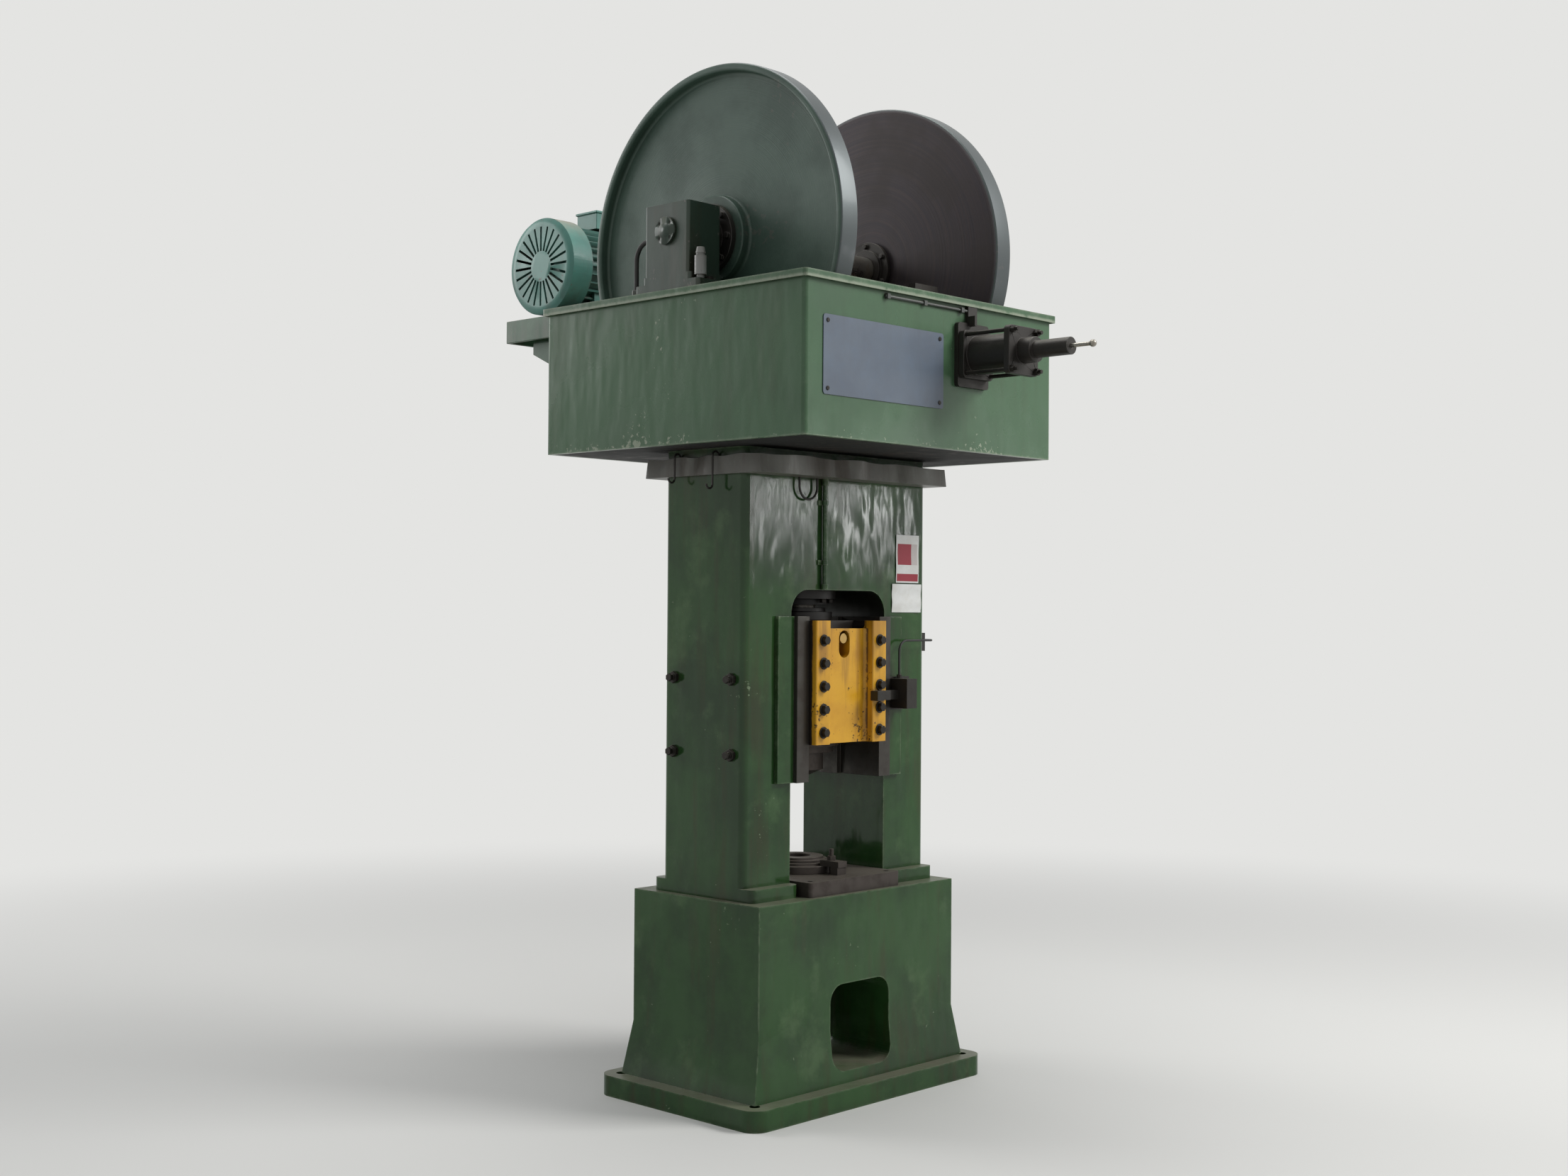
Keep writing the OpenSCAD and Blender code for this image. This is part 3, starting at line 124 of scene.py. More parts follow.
class Graph:
    """A shader node tree with short calls to add and join nodes."""

    def __init__(self, tree: bpy.types.NodeTree) -> None:
        """Keep the tree that later calls add to."""
        self.tree = tree

    def add(self, kind: str, **settings: object) -> bpy.types.Node:
        """Add a node of the given kind and set its properties."""
        node = self.tree.nodes.new(kind)
        for name, value in settings.items():
            setattr(node, name, value)
        return node

    def feed(self, source: object, socket: bpy.types.NodeSocket) -> None:
        """Join a socket, or set a plain number, to an input socket."""
        if isinstance(source, bpy.types.NodeSocket):
            self.tree.links.new(source, socket)
        else:
            socket.default_value = source

    def math(self, operation: str, *terms: object, clamp: bool = False) -> bpy.types.NodeSocket:
        """Return the output of a Math node on up to three sockets or numbers."""
        node = self.add("ShaderNodeMath", operation=operation, use_clamp=clamp)
        for term, socket in zip(terms, node.inputs):
            self.feed(term, socket)
        return node.outputs[0]

    def remap(self, value: object, low: object, high: object) -> bpy.types.NodeSocket:
        """Return a smooth 0 to 1 step of a value between two limits."""
        node = self.add("ShaderNodeMapRange", interpolation_type="SMOOTHSTEP")
        self.feed(value, node.inputs["Value"])
        self.feed(low, node.inputs["From Min"])
        self.feed(high, node.inputs["From Max"])
        return node.outputs["Result"]

    def place(self) -> bpy.types.NodeSocket:
        """Return the object coordinates, which are metres in the row frame."""
        return self.add("ShaderNodeTexCoord").outputs["Object"]

    def stretched(self, x: float, y: float, z: float) -> bpy.types.NodeSocket:
        """Return object coordinates scaled along each axis."""
        node = self.add("ShaderNodeVectorMath", operation="MULTIPLY")
        self.feed(self.place(), node.inputs[0])
        node.inputs[1].default_value = (x, y, z)
        return node.outputs[0]

    def noise(self, scale: object, detail: float, where: object = None) -> bpy.types.NodeSocket:
        """Return a fractal noise from 0 to 1 at a scale per metre."""
        node = self.add("ShaderNodeTexNoise")
        self.feed(self.place() if where is None else where, node.inputs["Vector"])
        self.feed(scale, node.inputs["Scale"])
        self.feed(detail, node.inputs["Detail"])
        self.feed(0.6, node.inputs["Roughness"])
        return node.outputs["Fac"]

    def shake(self, scale: object, detail: float, amount: object) -> bpy.types.NodeSocket:
        """Return a noise about 0 whose full height is the amount."""
        return self.math("MULTIPLY", self.math("SUBTRACT", self.noise(scale, detail), 0.5), amount)

    def axes(self, vector: bpy.types.NodeSocket) -> bpy.types.NodeOutputs:
        """Return the X, Y and Z outputs of a vector."""
        node = self.add("ShaderNodeSeparateXYZ")
        self.feed(vector, node.inputs[0])
        return node.outputs

    def blend(self, mask: object, first: object, second: object) -> bpy.types.NodeSocket:
        """Return a colour mixed from two by a mask."""
        node = self.add("ShaderNodeMix", data_type="RGBA")
        self.feed(mask, node.inputs[0])
        self.feed(first, node.inputs[6])
        self.feed(second, node.inputs[7])
        return node.outputs[2]


class EffectLibrary:
    """Makes each shared shader group once and hands it out."""

    AO_SAMPLES = 4

    def __init__(self) -> None:
        """Start with no groups made."""
        self.groups: dict[Effect, bpy.types.NodeTree] = {}

    def get(self, effect: Effect) -> bpy.types.NodeTree:
        """Return the group of an effect, made on first use."""
        if effect not in self.groups:
            self.groups[effect] = getattr(self, "make_" + effect.name.lower())(effect.value)
        return self.groups[effect]

    def start(self, name: str, **inputs: float) -> tuple[Graph, bpy.types.NodeOutputs, object]:
        """Open a group with named float inputs and one float output called Mask."""
        tree = bpy.data.node_groups.new(name, "ShaderNodeTree")
        for label, value in inputs.items():
            socket = tree.interface.new_socket(label, in_out="INPUT", socket_type="NodeSocketFloat")
            socket.default_value = value
        tree.interface.new_socket("Mask", in_out="OUTPUT", socket_type="NodeSocketFloat")
        graph = Graph(tree)
        entry = graph.add("NodeGroupInput")
        leave = graph.add("NodeGroupOutput")
        return graph, entry.outputs, leave.inputs["Mask"]

    def occlusion(self, graph: Graph, distance: object, inside: bool) -> bpy.types.NodeSocket:
        """Return how much of the space within a distance is closed off, from 0 to 1."""
        node = graph.add("ShaderNodeAmbientOcclusion", inside=inside, samples=self.AO_SAMPLES)
        node.only_local = inside
        graph.feed(distance, node.inputs["Distance"])
        return graph.math("SUBTRACT", 1.0, node.outputs["AO"])

    def shaft_radius(self, graph: Graph) -> bpy.types.NodeSocket:
        """Return the distance from the cross shaft's axis."""
        where = graph.axes(graph.place())
        rise = graph.math("SUBTRACT", where["Z"], SHAFT_Z)
        square = graph.math("MULTIPLY", where["Y"], where["Y"])
        return graph.math("SQRT", graph.math("MULTIPLY_ADD", rise, rise, square))

    def make_edges(self, name: str) -> bpy.types.NodeTree:
        """Edges: closed space just inside the skin, broken up by noise."""
        graph, given, mask = self.start(name, Distance=0.006, Scale=30.0, Low=0.25, High=0.55)
        edge = self.occlusion(graph, given["Distance"], True)
        broken = graph.math("MULTIPLY_ADD", graph.noise(given["Scale"], 6.0), 1.5, -0.25)
        worn = graph.math("MULTIPLY", edge, broken)
        graph.feed(graph.remap(worn, given["Low"], given["High"]), mask)
        return graph.tree

    def make_crevice(self, name: str) -> bpy.types.NodeTree:
        """Crevices: closed space outside the skin, broken up by noise; this darkening is painted
        shade and oily dirt.
        """
        graph, given, mask = self.start(name, Distance=0.08, Scale=9.0, Low=0.1, High=0.8)
        closed = self.occlusion(graph, given["Distance"], False)
        broken = graph.math("MULTIPLY_ADD", graph.noise(given["Scale"], 5.0), 1.2, 0.2)
        worn = graph.math("MULTIPLY", closed, broken)
        graph.feed(graph.remap(worn, given["Low"], given["High"]), mask)
        return graph.tree

    def make_clouds(self, name: str) -> bpy.types.NodeTree:
        """Clouds: soft patches between two limits of a noise."""
        graph, given, mask = self.start(name, Scale=3.0, Low=0.35, High=0.65)
        graph.feed(graph.remap(graph.noise(given["Scale"], 5.0), given["Low"], given["High"]), mask)
        return graph.tree

    def make_streaks(self, name: str) -> bpy.types.NodeTree:
        """Streaks: a noise drawn out down the piece, where a soft noise lets it show."""
        graph, given, mask = self.start(name, Scale=18.0, Low=0.5, High=0.72)
        drawn = graph.noise(given["Scale"], 6.0, graph.stretched(1.0, 1.0, 0.07))
        soft = graph.noise(2.2, 3.0)
        both = graph.math("MULTIPLY_ADD", soft, 0.5, graph.math("MULTIPLY", drawn, 0.75))
        graph.feed(graph.remap(both, given["Low"], given["High"]), mask)
        return graph.tree

    def make_settled(self, name: str) -> bpy.types.NodeTree:
        """Settled dust: faces that look up, thinned by noise."""
        graph, given, mask = self.start(name, Scale=7.0, Low=0.35, High=0.95)
        up = graph.axes(graph.add("ShaderNodeNewGeometry").outputs["Normal"])["Z"]
        broken = graph.math("MULTIPLY_ADD", graph.noise(given["Scale"], 6.0), 0.9, 0.4)
        settled = graph.math("MULTIPLY", up, broken)
        graph.feed(graph.remap(settled, given["Low"], given["High"]), mask)
        return graph.tree

    def make_chips(self, name: str) -> bpy.types.NodeTree:
        """Chips: hard spots of a fine noise in the patches of a coarse one, more near a height."""
        graph, given, mask = self.start(
            name, Scale=60.0, Low=0.62, High=0.65, Height=FAR_BELOW, Reach=0.04
        )
        fine = graph.noise(given["Scale"], 8.0)
        coarse = graph.noise(4.0, 3.0)
        height = graph.axes(graph.place())["Z"]
        away = graph.math("ABSOLUTE", graph.math("SUBTRACT", height, given["Height"]))
        near = graph.math("SUBTRACT", 1.0, graph.math("DIVIDE", away, given["Reach"]), clamp=True)
        patches = graph.math("MULTIPLY_ADD", near, 0.09, graph.math("MULTIPLY", coarse, 0.45))
        both = graph.math("MULTIPLY_ADD", fine, 0.62, patches)
        graph.feed(graph.remap(both, given["Low"], given["High"]), mask)
        return graph.tree

    def make_radius(self, name: str) -> bpy.types.NodeTree:
        """Radius from the cross shaft: 0 at Low and 1 at High, roughened by noise."""
        graph, given, mask = self.start(name, Scale=25.0, Low=0.5, High=0.52, Spread=0.01)
        shake = graph.shake(given["Scale"], 4.0, given["Spread"])
        radius = graph.math("ADD", self.shaft_radius(graph), shake)
        graph.feed(graph.remap(radius, given["Low"], given["High"]), mask)
        return graph.tree

    def make_rings(self, name: str) -> bpy.types.NodeTree:
        """Turned rings: a noise that depends only on the radius from the cross shaft."""
        graph, given, mask = self.start(name, Scale=120.0, Low=0.4, High=0.65)
        line = graph.add("ShaderNodeCombineXYZ")
        graph.feed(self.shaft_radius(graph), line.inputs["X"])
        rings = graph.noise(given["Scale"], 4.0, line.outputs[0])
        graph.feed(graph.remap(rings, given["Low"], given["High"]), mask)
        return graph.tree

    def make_sliding(self, name: str) -> bpy.types.NodeTree:
        """Sliding faces and notch shade: the ram's oily sides behind Edge, and its top notch behind
        Panel darkened as painted shade.
        """
        graph, given, mask = self.start(
            name, Scale=30.0, Wide=0.1795, Edge=-0.236, Panel=-0.2155, Top=1.597
        )
        where = graph.axes(graph.place())
        shake = graph.shake(given["Scale"], 4.0, 0.01)
        depth = graph.math("ADD", where["Y"], shake)
        aside = graph.math("GREATER_THAN", graph.math("ABSOLUTE", where["X"]), given["Wide"])
        beyond = graph.remap(depth, given["Edge"], graph.math("ADD", given["Edge"], 0.002))
        side = graph.math("MULTIPLY", aside, beyond)
        # The top notch behind Panel is darkened as painted shade
        high = graph.math("GREATER_THAN", where["Z"], given["Top"])
        inner = graph.math("MULTIPLY", high, graph.math("GREATER_THAN", where["Y"], given["Panel"]))
        graph.feed(graph.math("MAXIMUM", side, inner), mask)
        return graph.tree

    def make_hollow(self, name: str) -> bpy.types.NodeTree:
        """Painted shade in the frame's hollow: inside Wide along X and Deep along Y, fading in from
        Low to High.
        """
        graph, given, mask = self.start(
            name, Scale=9.0, Wide=0.2405, Deep=0.188, Low=1.5, High=1.66
        )
        where = graph.axes(graph.place())
        shake = graph.shake(given["Scale"], 5.0, 0.2)
        across = graph.math("LESS_THAN", graph.math("ABSOLUTE", where["X"]), given["Wide"])
        along = graph.math("LESS_THAN", graph.math("ABSOLUTE", where["Y"]), given["Deep"])
        rise = graph.remap(graph.math("ADD", where["Z"], shake), given["Low"], given["High"])
        graph.feed(graph.math("MULTIPLY", rise, graph.math("MULTIPLY", across, along)), mask)
        return graph.tree

    def make_grain(self, name: str) -> bpy.types.NodeTree:
        """Cast grain: a fine noise and a coarser one, as a height."""
        graph, given, mask = self.start(name, Scale=220.0)
        fine = graph.noise(given["Scale"], 3.0)
        coarse = graph.noise(graph.math("MULTIPLY", given["Scale"], 0.16), 4.0)
        graph.feed(graph.math("MULTIPLY_ADD", coarse, 0.7, graph.math("MULTIPLY", fine, 0.3)), mask)
        return graph.tree

    def make_waves(self, name: str) -> bpy.types.NodeTree:
        """Long waves: the slow upright swell of filled and brushed castings and of thin plate."""
        graph, given, mask = self.start(name, Scale=5.0)
        graph.feed(graph.noise(given["Scale"], 1.5, graph.stretched(1.5, 1.5, 0.6)), mask)
        return graph.tree


EFFECTS = EffectLibrary()


def dials(**values: float) -> tuple[tuple[str, float], ...]:
    """Return an effect's settings as pairs of input label and value."""
    return tuple(values.items())


@dataclass(frozen=True)
class Layer:
    """One coat of wear or dirt laid over a finish by an effect's mask."""

    effect: Effect
    color: Color | None = None
    roughness: float | None = None
    metallic: float | None = None
    strength: float = 1.0
    settings: tuple[tuple[str, float], ...] = ()


@dataclass(frozen=True)
class Bump:
    """A height that tilts the surface: the effect, its scale per metre and its depth in metres."""

    effect: Effect
    scale: float
    depth: float


@dataclass(frozen=True)
class Finish:
    """A surface: base colour and gloss, layers over it and bumps under it."""

    name: str
    color: Color
    roughness: float
    metallic: float = 0.0
    coat: float = 0.0
    gloss: float = 0.5
    layers: tuple[Layer, ...] = ()
    bumps: tuple[Bump, ...] = ()

    def material(self) -> bpy.types.Material:
        """Return the material of this finish, made on first use.

        Returns:
            A material whose uniform values sit on the shader's own sockets, and whose layered
            values are mixed in the order of the layers.
        """
        known = bpy.data.materials.get(self.name)
        if known is not None:
            return known
        material = bpy.data.materials.new(self.name)
        material.use_nodes = True
        graph = Graph(material.node_tree)
        shader = next(n for n in material.node_tree.nodes if n.type == "BSDF_PRINCIPLED")
        shader.inputs["Coat Weight"].default_value = self.coat
        shader.inputs["Coat Roughness"].default_value = COAT_ROUGHNESS
        shader.inputs["Specular IOR Level"].default_value = self.gloss
        color: object = self.color
        roughness: object = self.roughness
        metallic: object = self.metallic
        for layer in self.layers:
            mask = self.mask(graph, layer)
            if layer.color is not None:
                color = graph.blend(mask, color, layer.color)
            if layer.roughness is not None:
                roughness = self.toward(graph, mask, roughness, layer.roughness)
            if layer.metallic is not None:
                metallic = self.toward(graph, mask, metallic, layer.metallic)
        graph.feed(color, shader.inputs["Base Color"])
        graph.feed(roughness, shader.inputs["Roughness"])
        graph.feed(metallic, shader.inputs["Metallic"])
        normal = None
        for bump in self.bumps:
            group = graph.add("ShaderNodeGroup", node_tree=EFFECTS.get(bump.effect))
            group.inputs["Scale"].default_value = bump.scale
            node = graph.add("ShaderNodeBump")
            node.inputs["Distance"].default_value = bump.depth
            graph.feed(group.outputs["Mask"], node.inputs["Height"])
            if normal is not None:
                graph.feed(normal, node.inputs["Normal"])
            normal = node.outputs["Normal"]
        if normal is not None:
            graph.feed(normal, shader.inputs["Normal"])
        return material

    @staticmethod
    def mask(graph: Graph, layer: Layer) -> bpy.types.NodeSocket:
        """Return the layer's mask, weakened by its strength."""
        group = graph.add("ShaderNodeGroup", node_tree=EFFECTS.get(layer.effect))
        for label, value in layer.settings:
            group.inputs[label].default_value = value
        if layer.strength == 1.0:
            return group.outputs["Mask"]
        return graph.math("MULTIPLY", group.outputs["Mask"], layer.strength)

    @staticmethod
    def toward(graph: Graph, mask: object, start: object, end: float) -> bpy.types.NodeSocket:
        """Return start moved toward end by the mask."""
        node = graph.add("ShaderNodeMix", data_type="FLOAT")
        graph.feed(mask, node.inputs[0])
        graph.feed(start, node.inputs[2])
        graph.feed(end, node.inputs[3])
        return node.outputs[0]


# Colours and finishes


BARE_IRON = srgb(96, 92, 86)
# Dark oil colour that the crevice layers lay into corners as painted shade and oily dirt
OIL_AND_SHADE = srgb(34, 27, 20)
BROWN_OIL = srgb(58, 42, 26)
DUST = srgb(128, 122, 108)


def paint(
    name: str,
    color: Color,
    shade: Color,
    roughness: float = 0.34,
    coat: float = 0.35,
    chips: float = 0.8,
    shade_and_grime: float = 0.75,
    streaks: float = 0.35,
    dust: float = 0.5,
    waves: float = 0.0016,
    edge: Color = BARE_IRON,
    chip_height: float = FAR_BELOW,
    chip_low: float = 0.66,
    grain: float = 0.00025,
    dull: float = 0.12,
    edge_reach: float = 0.006,
    edge_low: float = 0.26,
    gloss: float = 0.4,
    more: tuple[Layer, ...] = (),
) -> Finish:
    """Describe machine paint: two tones, chips to bare iron, painted shade and oily dirt in corners,
    streaks and dust.

    Returns:
        The finish with its layers in the order in which a real machine gets them.
    """
    return Finish(
        name,
        color,
        roughness,
        coat=coat,
        gloss=gloss,
        layers=(
            Layer(
                Effect.CLOUDS, shade, roughness + dull, strength=0.75,
                settings=dials(Scale=3.1, Low=0.38, High=0.68),
            ),
            # Painted shade and oily dirt in crevices
            Layer(
                Effect.CREVICE, OIL_AND_SHADE, 0.55, strength=shade_and_grime,
                settings=dials(Distance=0.07, Low=0.16, High=0.85),
            ),
            Layer(
                Effect.STREAKS, BROWN_OIL, 0.3, strength=streaks,
                settings=dials(Low=0.62, High=0.8),
            ),
            Layer(
                Effect.CHIPS, edge, 0.5, strength=chips,
                settings=dials(Scale=55.0, Low=chip_low, High=chip_low + 0.01, Height=chip_height),
            ),
            Layer(
                Effect.EDGES, edge, 0.45, strength=chips,
                settings=dials(Distance=edge_reach, Scale=26.0, Low=edge_low, High=edge_low + 0.18),
            ),
            *more,
            Layer(Effect.SETTLED, DUST, 0.85, 0.0, strength=dust),
        ),
        bumps=(Bump(Effect.WAVES, 9.0, waves), Bump(Effect.GRAIN, 200.0, grain)),
    )


def metal(
    name: str,
    color: Color,
    stain: Color,
    roughness: float = 0.4,
    metallic: float = 0.85,
    worn: Color = BARE_IRON,
    shade_and_grime: float = 0.8,
    dust: float = 0.25,
) -> Finish:
    """Describe bare or blackened metal: stains, painted shade and oil in corners, rubbed edges and a
    little dust.
    """
    return Finish(
        name,
        color,
        roughness,
        metallic,
        layers=(
            Layer(
                Effect.CLOUDS, stain, roughness + 0.2, metallic * 0.5, strength=0.8,
                settings=dials(Scale=11.0, Low=0.42, High=0.66),
            ),
            # Painted shade and oily dirt in crevices
            Layer(
                Effect.CREVICE, OIL_AND_SHADE, 0.5, 0.1, strength=shade_and_grime,
                settings=dials(Distance=0.03, Low=0.15, High=0.8),
            ),
            Layer(
                Effect.EDGES, worn, 0.32, 0.9, strength=0.7,
                settings=dials(Distance=0.003, Scale=45.0, Low=0.3, High=0.55),
            ),
            Layer(Effect.SETTLED, DUST, 0.85, 0.0, strength=dust),
        ),
        bumps=(Bump(Effect.GRAIN, 320.0, 0.0002),),
    )


FRAME_GREEN = paint(
    "frame green paint",
    srgb(46, 80, 40),
    srgb(28, 52, 26),
    0.09,
    0.0,
    gloss=0.34,
    waves=0.0032,
    edge=srgb(112, 128, 100),
    chip_low=0.705,
    grain=0.00004,
    dull=0.06,
    edge_reach=0.013,
    edge_low=0.2,
    more=(
        Layer(
            Effect.CLOUDS, srgb(84, 112, 72), strength=0.5,
            settings=dials(Scale=5.5, Low=0.54, High=0.76),
        ),
        # Near-black painted shade inside the arch above the ram
        Layer(Effect.HOLLOW, srgb(24, 22, 20), 0.4, strength=0.92),
    ),
)
CROWN_GREEN = paint(
    "crown green paint",
    srgb(76, 106, 78),
    srgb(62, 90, 64),
    0.26,
    0.0,
    gloss=0.34,
    streaks=0.12,
    waves=0.003,
    edge=srgb(150, 158, 138),
    chip_height=2.208,
    chip_low=0.7,
    grain=0.0001,
    edge_reach=0.012,
    edge_low=0.12,
)
PLATFORM_GREEN = paint(
    "platform green paint", srgb(60, 92, 66), srgb(46, 72, 54), 0.45, 0.1, dust=0.75,
)
# Pedestal paint darker than the disc paint: painted shade of the disc over it
PEDESTAL_SHADED_GREEN = paint(
    "pedestal green paint darkened for shade", srgb(46, 64, 52), srgb(34, 50, 40), 0.36, 0.1, streaks=0.3,
)
# Near-black crown floor: painted shade under the crown
CROWN_FLOOR_SHADE = paint("crown floor painted shade", srgb(20, 21, 20), srgb(14, 15, 14), 0.7, 0.0, chips=0.0)
NUT_BLACK = metal("oil-black nut", srgb(30, 28, 26), srgb(20, 17, 14), 0.34, 0.4, dust=0.0)
RAM_YELLOW = Finish(
    "ram yellow paint",
    srgb(216, 162, 34),
    0.34,
    layers=(
        Layer(
            Effect.CLOUDS, srgb(196, 140, 28), 0.46, strength=0.7,
            settings=dials(Scale=6.0, Low=0.4, High=0.66),
        ),
        # Painted shade and oily dirt in crevices, in dark brown
        Layer(
            Effect.CREVICE, srgb(60, 38, 16), 0.45, strength=0.85,
            settings=dials(Distance=0.05, Low=0.12, High=0.75),
        ),
        Layer(
            Effect.STREAKS, srgb(110, 68, 22), 0.3, strength=0.5,
            settings=dials(Scale=26.0, Low=0.6, High=0.76),
        ),
        Layer(
            Effect.CHIPS, srgb(58, 44, 30), 0.5, 0.4, strength=0.9,
            settings=dials(Scale=70.0, Low=0.65, High=0.662),
        ),
        Layer(
            Effect.EDGES, srgb(70, 56, 40), 0.42, 0.5, strength=0.9,
            settings=dials(Distance=0.004, Scale=32.0, Low=0.22, High=0.42),
        ),
        # Dark oily sliding sides, and painted shade in the top notch
        Layer(Effect.SLIDING, srgb(36, 30, 26), 0.36, 0.3),
    ),
    bumps=(Bump(Effect.WAVES, 16.0, 0.0008), Bump(Effect.GRAIN, 260.0, 0.0002)),
)
DISC_PAINT = Finish(
    "disc green paint",
    srgb(70, 92, 80),
    0.45,
    coat=0.1,
    gloss=0.34,
    layers=(
        Layer(
            Effect.CLOUDS, srgb(54, 74, 64), 0.55, strength=0.8,
            settings=dials(Scale=4.0, Low=0.38, High=0.66),
        ),
        # Painted shade and oily dirt in crevices
        Layer(
            Effect.CREVICE, OIL_AND_SHADE, 0.5, strength=0.8,
            settings=dials(Distance=0.06, Low=0.1, High=0.7),
        ),
        Layer(
            Effect.RADIUS, srgb(74, 78, 80), 0.42, 0.5, strength=0.9,
            settings=dials(Low=0.584, High=0.589, Spread=0.004),
        ),
        Layer(
            Effect.CHIPS, BARE_IRON, 0.5, 0.3, strength=0.4,
            settings=dials(Scale=45.0, Low=0.66, High=0.675),
        ),
    ),
    bumps=(Bump(Effect.RINGS, 260.0, 0.0002), Bump(Effect.GRAIN, 200.0, 0.0002)),
)
DISC_BARE = Finish(
    "disc bare face",
    srgb(42, 36, 41),
    0.44,
    0.4,
    layers=(
        Layer(Effect.RINGS, srgb(66, 54, 52), 0.38, 0.5, strength=0.45, settings=dials(Scale=60.0)),
        Layer(
            Effect.CLOUDS, srgb(38, 29, 27), 0.55, 0.3, strength=0.7,
            settings=dials(Scale=5.0, Low=0.4, High=0.62),
        ),
        Layer(
            Effect.RADIUS, srgb(96, 96, 98), 0.36, 0.8, strength=0.6,
            settings=dials(Low=0.576, High=0.582, Spread=0.006),
        ),
    ),
    bumps=(Bump(Effect.RINGS, 160.0, 0.0001),),
)
GIB_STEEL = metal("gib steel", srgb(70, 68, 64), srgb(44, 38, 32), 0.34, 0.75, shade_and_grime=0.6, dust=0.0)
DARK_IRON = metal("dark iron", srgb(50, 48, 45), srgb(34, 30, 26), 0.42, 0.6)
PULLEY_IRON = metal("pulley iron", srgb(84, 88, 84), srgb(58, 54, 48), 0.45, 0.6)
DIE_STEEL = metal("die steel", srgb(72, 66, 62), srgb(46, 38, 32), 0.5, 0.7)
BRIGHT_STEEL = metal(
    "bright steel", srgb(168, 166, 158), srgb(110, 98, 82), 0.26, 0.95,
    worn=srgb(196, 194, 188),
)
BLACK_BOLTS = metal("black bolts", srgb(44, 41, 37), srgb(30, 25, 20), 0.4, 0.7, shade_and_grime=0.9)
BRONZE = metal("bronze", srgb(168, 118, 62), srgb(104, 68, 36), 0.34, 0.9, worn=srgb(196, 150, 90))
# Gutter grey darkened a little as painted shade under the crown
GUTTER_SHADED_GREY = paint(
    "gutter grey darkened for shade", srgb(114, 115, 108), srgb(84, 82, 77), 0.42, 0.05, chips=0.4,
    streaks=0.5, waves=0.004,
)
PLATE_BLUE = paint(
    "plate blue", srgb(96, 108, 122), srgb(84, 94, 108), 0.4, 0.15, chips=0.1,
    shade_and_grime=0.4, streaks=0.1, dust=0.0, waves=0.0006,
)
LUBRICATOR_GREY = paint("lubricator grey", srgb(168, 170, 166), srgb(140, 140, 132), 0.4, 0.2)
MOTOR_TEAL = paint(
    "motor teal", srgb(74, 128, 116), srgb(58, 100, 92), 0.42, 0.15, dust=0.8,
    waves=0.0006,
)
RUBBER = Finish(
    "black rubber",
    srgb(26, 26, 26),
    0.6,
    layers=(Layer(Effect.CLOUDS, srgb(48, 46, 42), 0.8, strength=0.5, settings=dials(Scale=20.0)),),
)
AIR_GREY = paint("air pipe grey", srgb(70, 74, 70), srgb(54, 58, 54), 0.4, 0.1)
LEATHER = Finish(
    "belt leather",
    srgb(88, 64, 42),
    0.6,
    layers=(
        Layer(Effect.CLOUDS, srgb(52, 38, 26), 0.4, strength=0.8, settings=dials(Scale=12.0)),
        # Painted shade and oily dirt in crevices
        Layer(Effect.CREVICE, OIL_AND_SHADE, 0.5, strength=0.6, settings=dials(Distance=0.04)),
    ),
    bumps=(Bump(Effect.GRAIN, 240.0, 0.0003),),
)
CARD_WHITE = Finish(
    "card white",
    srgb(226, 227, 224),
    0.5,
    layers=(
        Layer(Effect.CLOUDS, srgb(204, 202, 194), 0.6, strength=0.6, settings=dials(Scale=14.0)),
    ),
)
CARD_RED = Finish("card red", srgb(146, 32, 48), 0.45)
CARD_PALE = Finish("card pale band", srgb(196, 188, 184), 0.5)

NODE_FINISH = {
    "frame_green": FRAME_GREEN,
    "crown_green": CROWN_GREEN,
    "platform_green": PLATFORM_GREEN,
    "crown_floor_dark": CROWN_FLOOR_SHADE,
    "disc_green": DISC_PAINT,
    "dark_iron": DARK_IRON,
    "pulley_iron": PULLEY_IRON,
    "die_steel": DIE_STEEL,
    "bright_steel": BRIGHT_STEEL,
    "black_bolts": BLACK_BOLTS,
    "bronze": BRONZE,
    "ram_yellow": RAM_YELLOW,
    "gutter_grey": GUTTER_SHADED_GREY,
    "plate_blue": PLATE_BLUE,
    "lubricator_grey": LUBRICATOR_GREY,
    "motor_teal": MOTOR_TEAL,
    "black_rubber": RUBBER,
    "air_pipe_grey": AIR_GREY,
    "belt_leather": LEATHER,
}


# Surfaces in numpy


def around(steps: int) -> np.ndarray:
    """Return the angles of even steps in a full turn."""
    return np.arange(steps) * TURN / steps


def track(x: Coordinate, y: Coordinate, z: Coordinate) -> np.ndarray:
    """Return the points of a path from three coordinates, each an array or one number for all."""
    return np.stack(np.broadcast_arrays(x, y, z), axis=1)


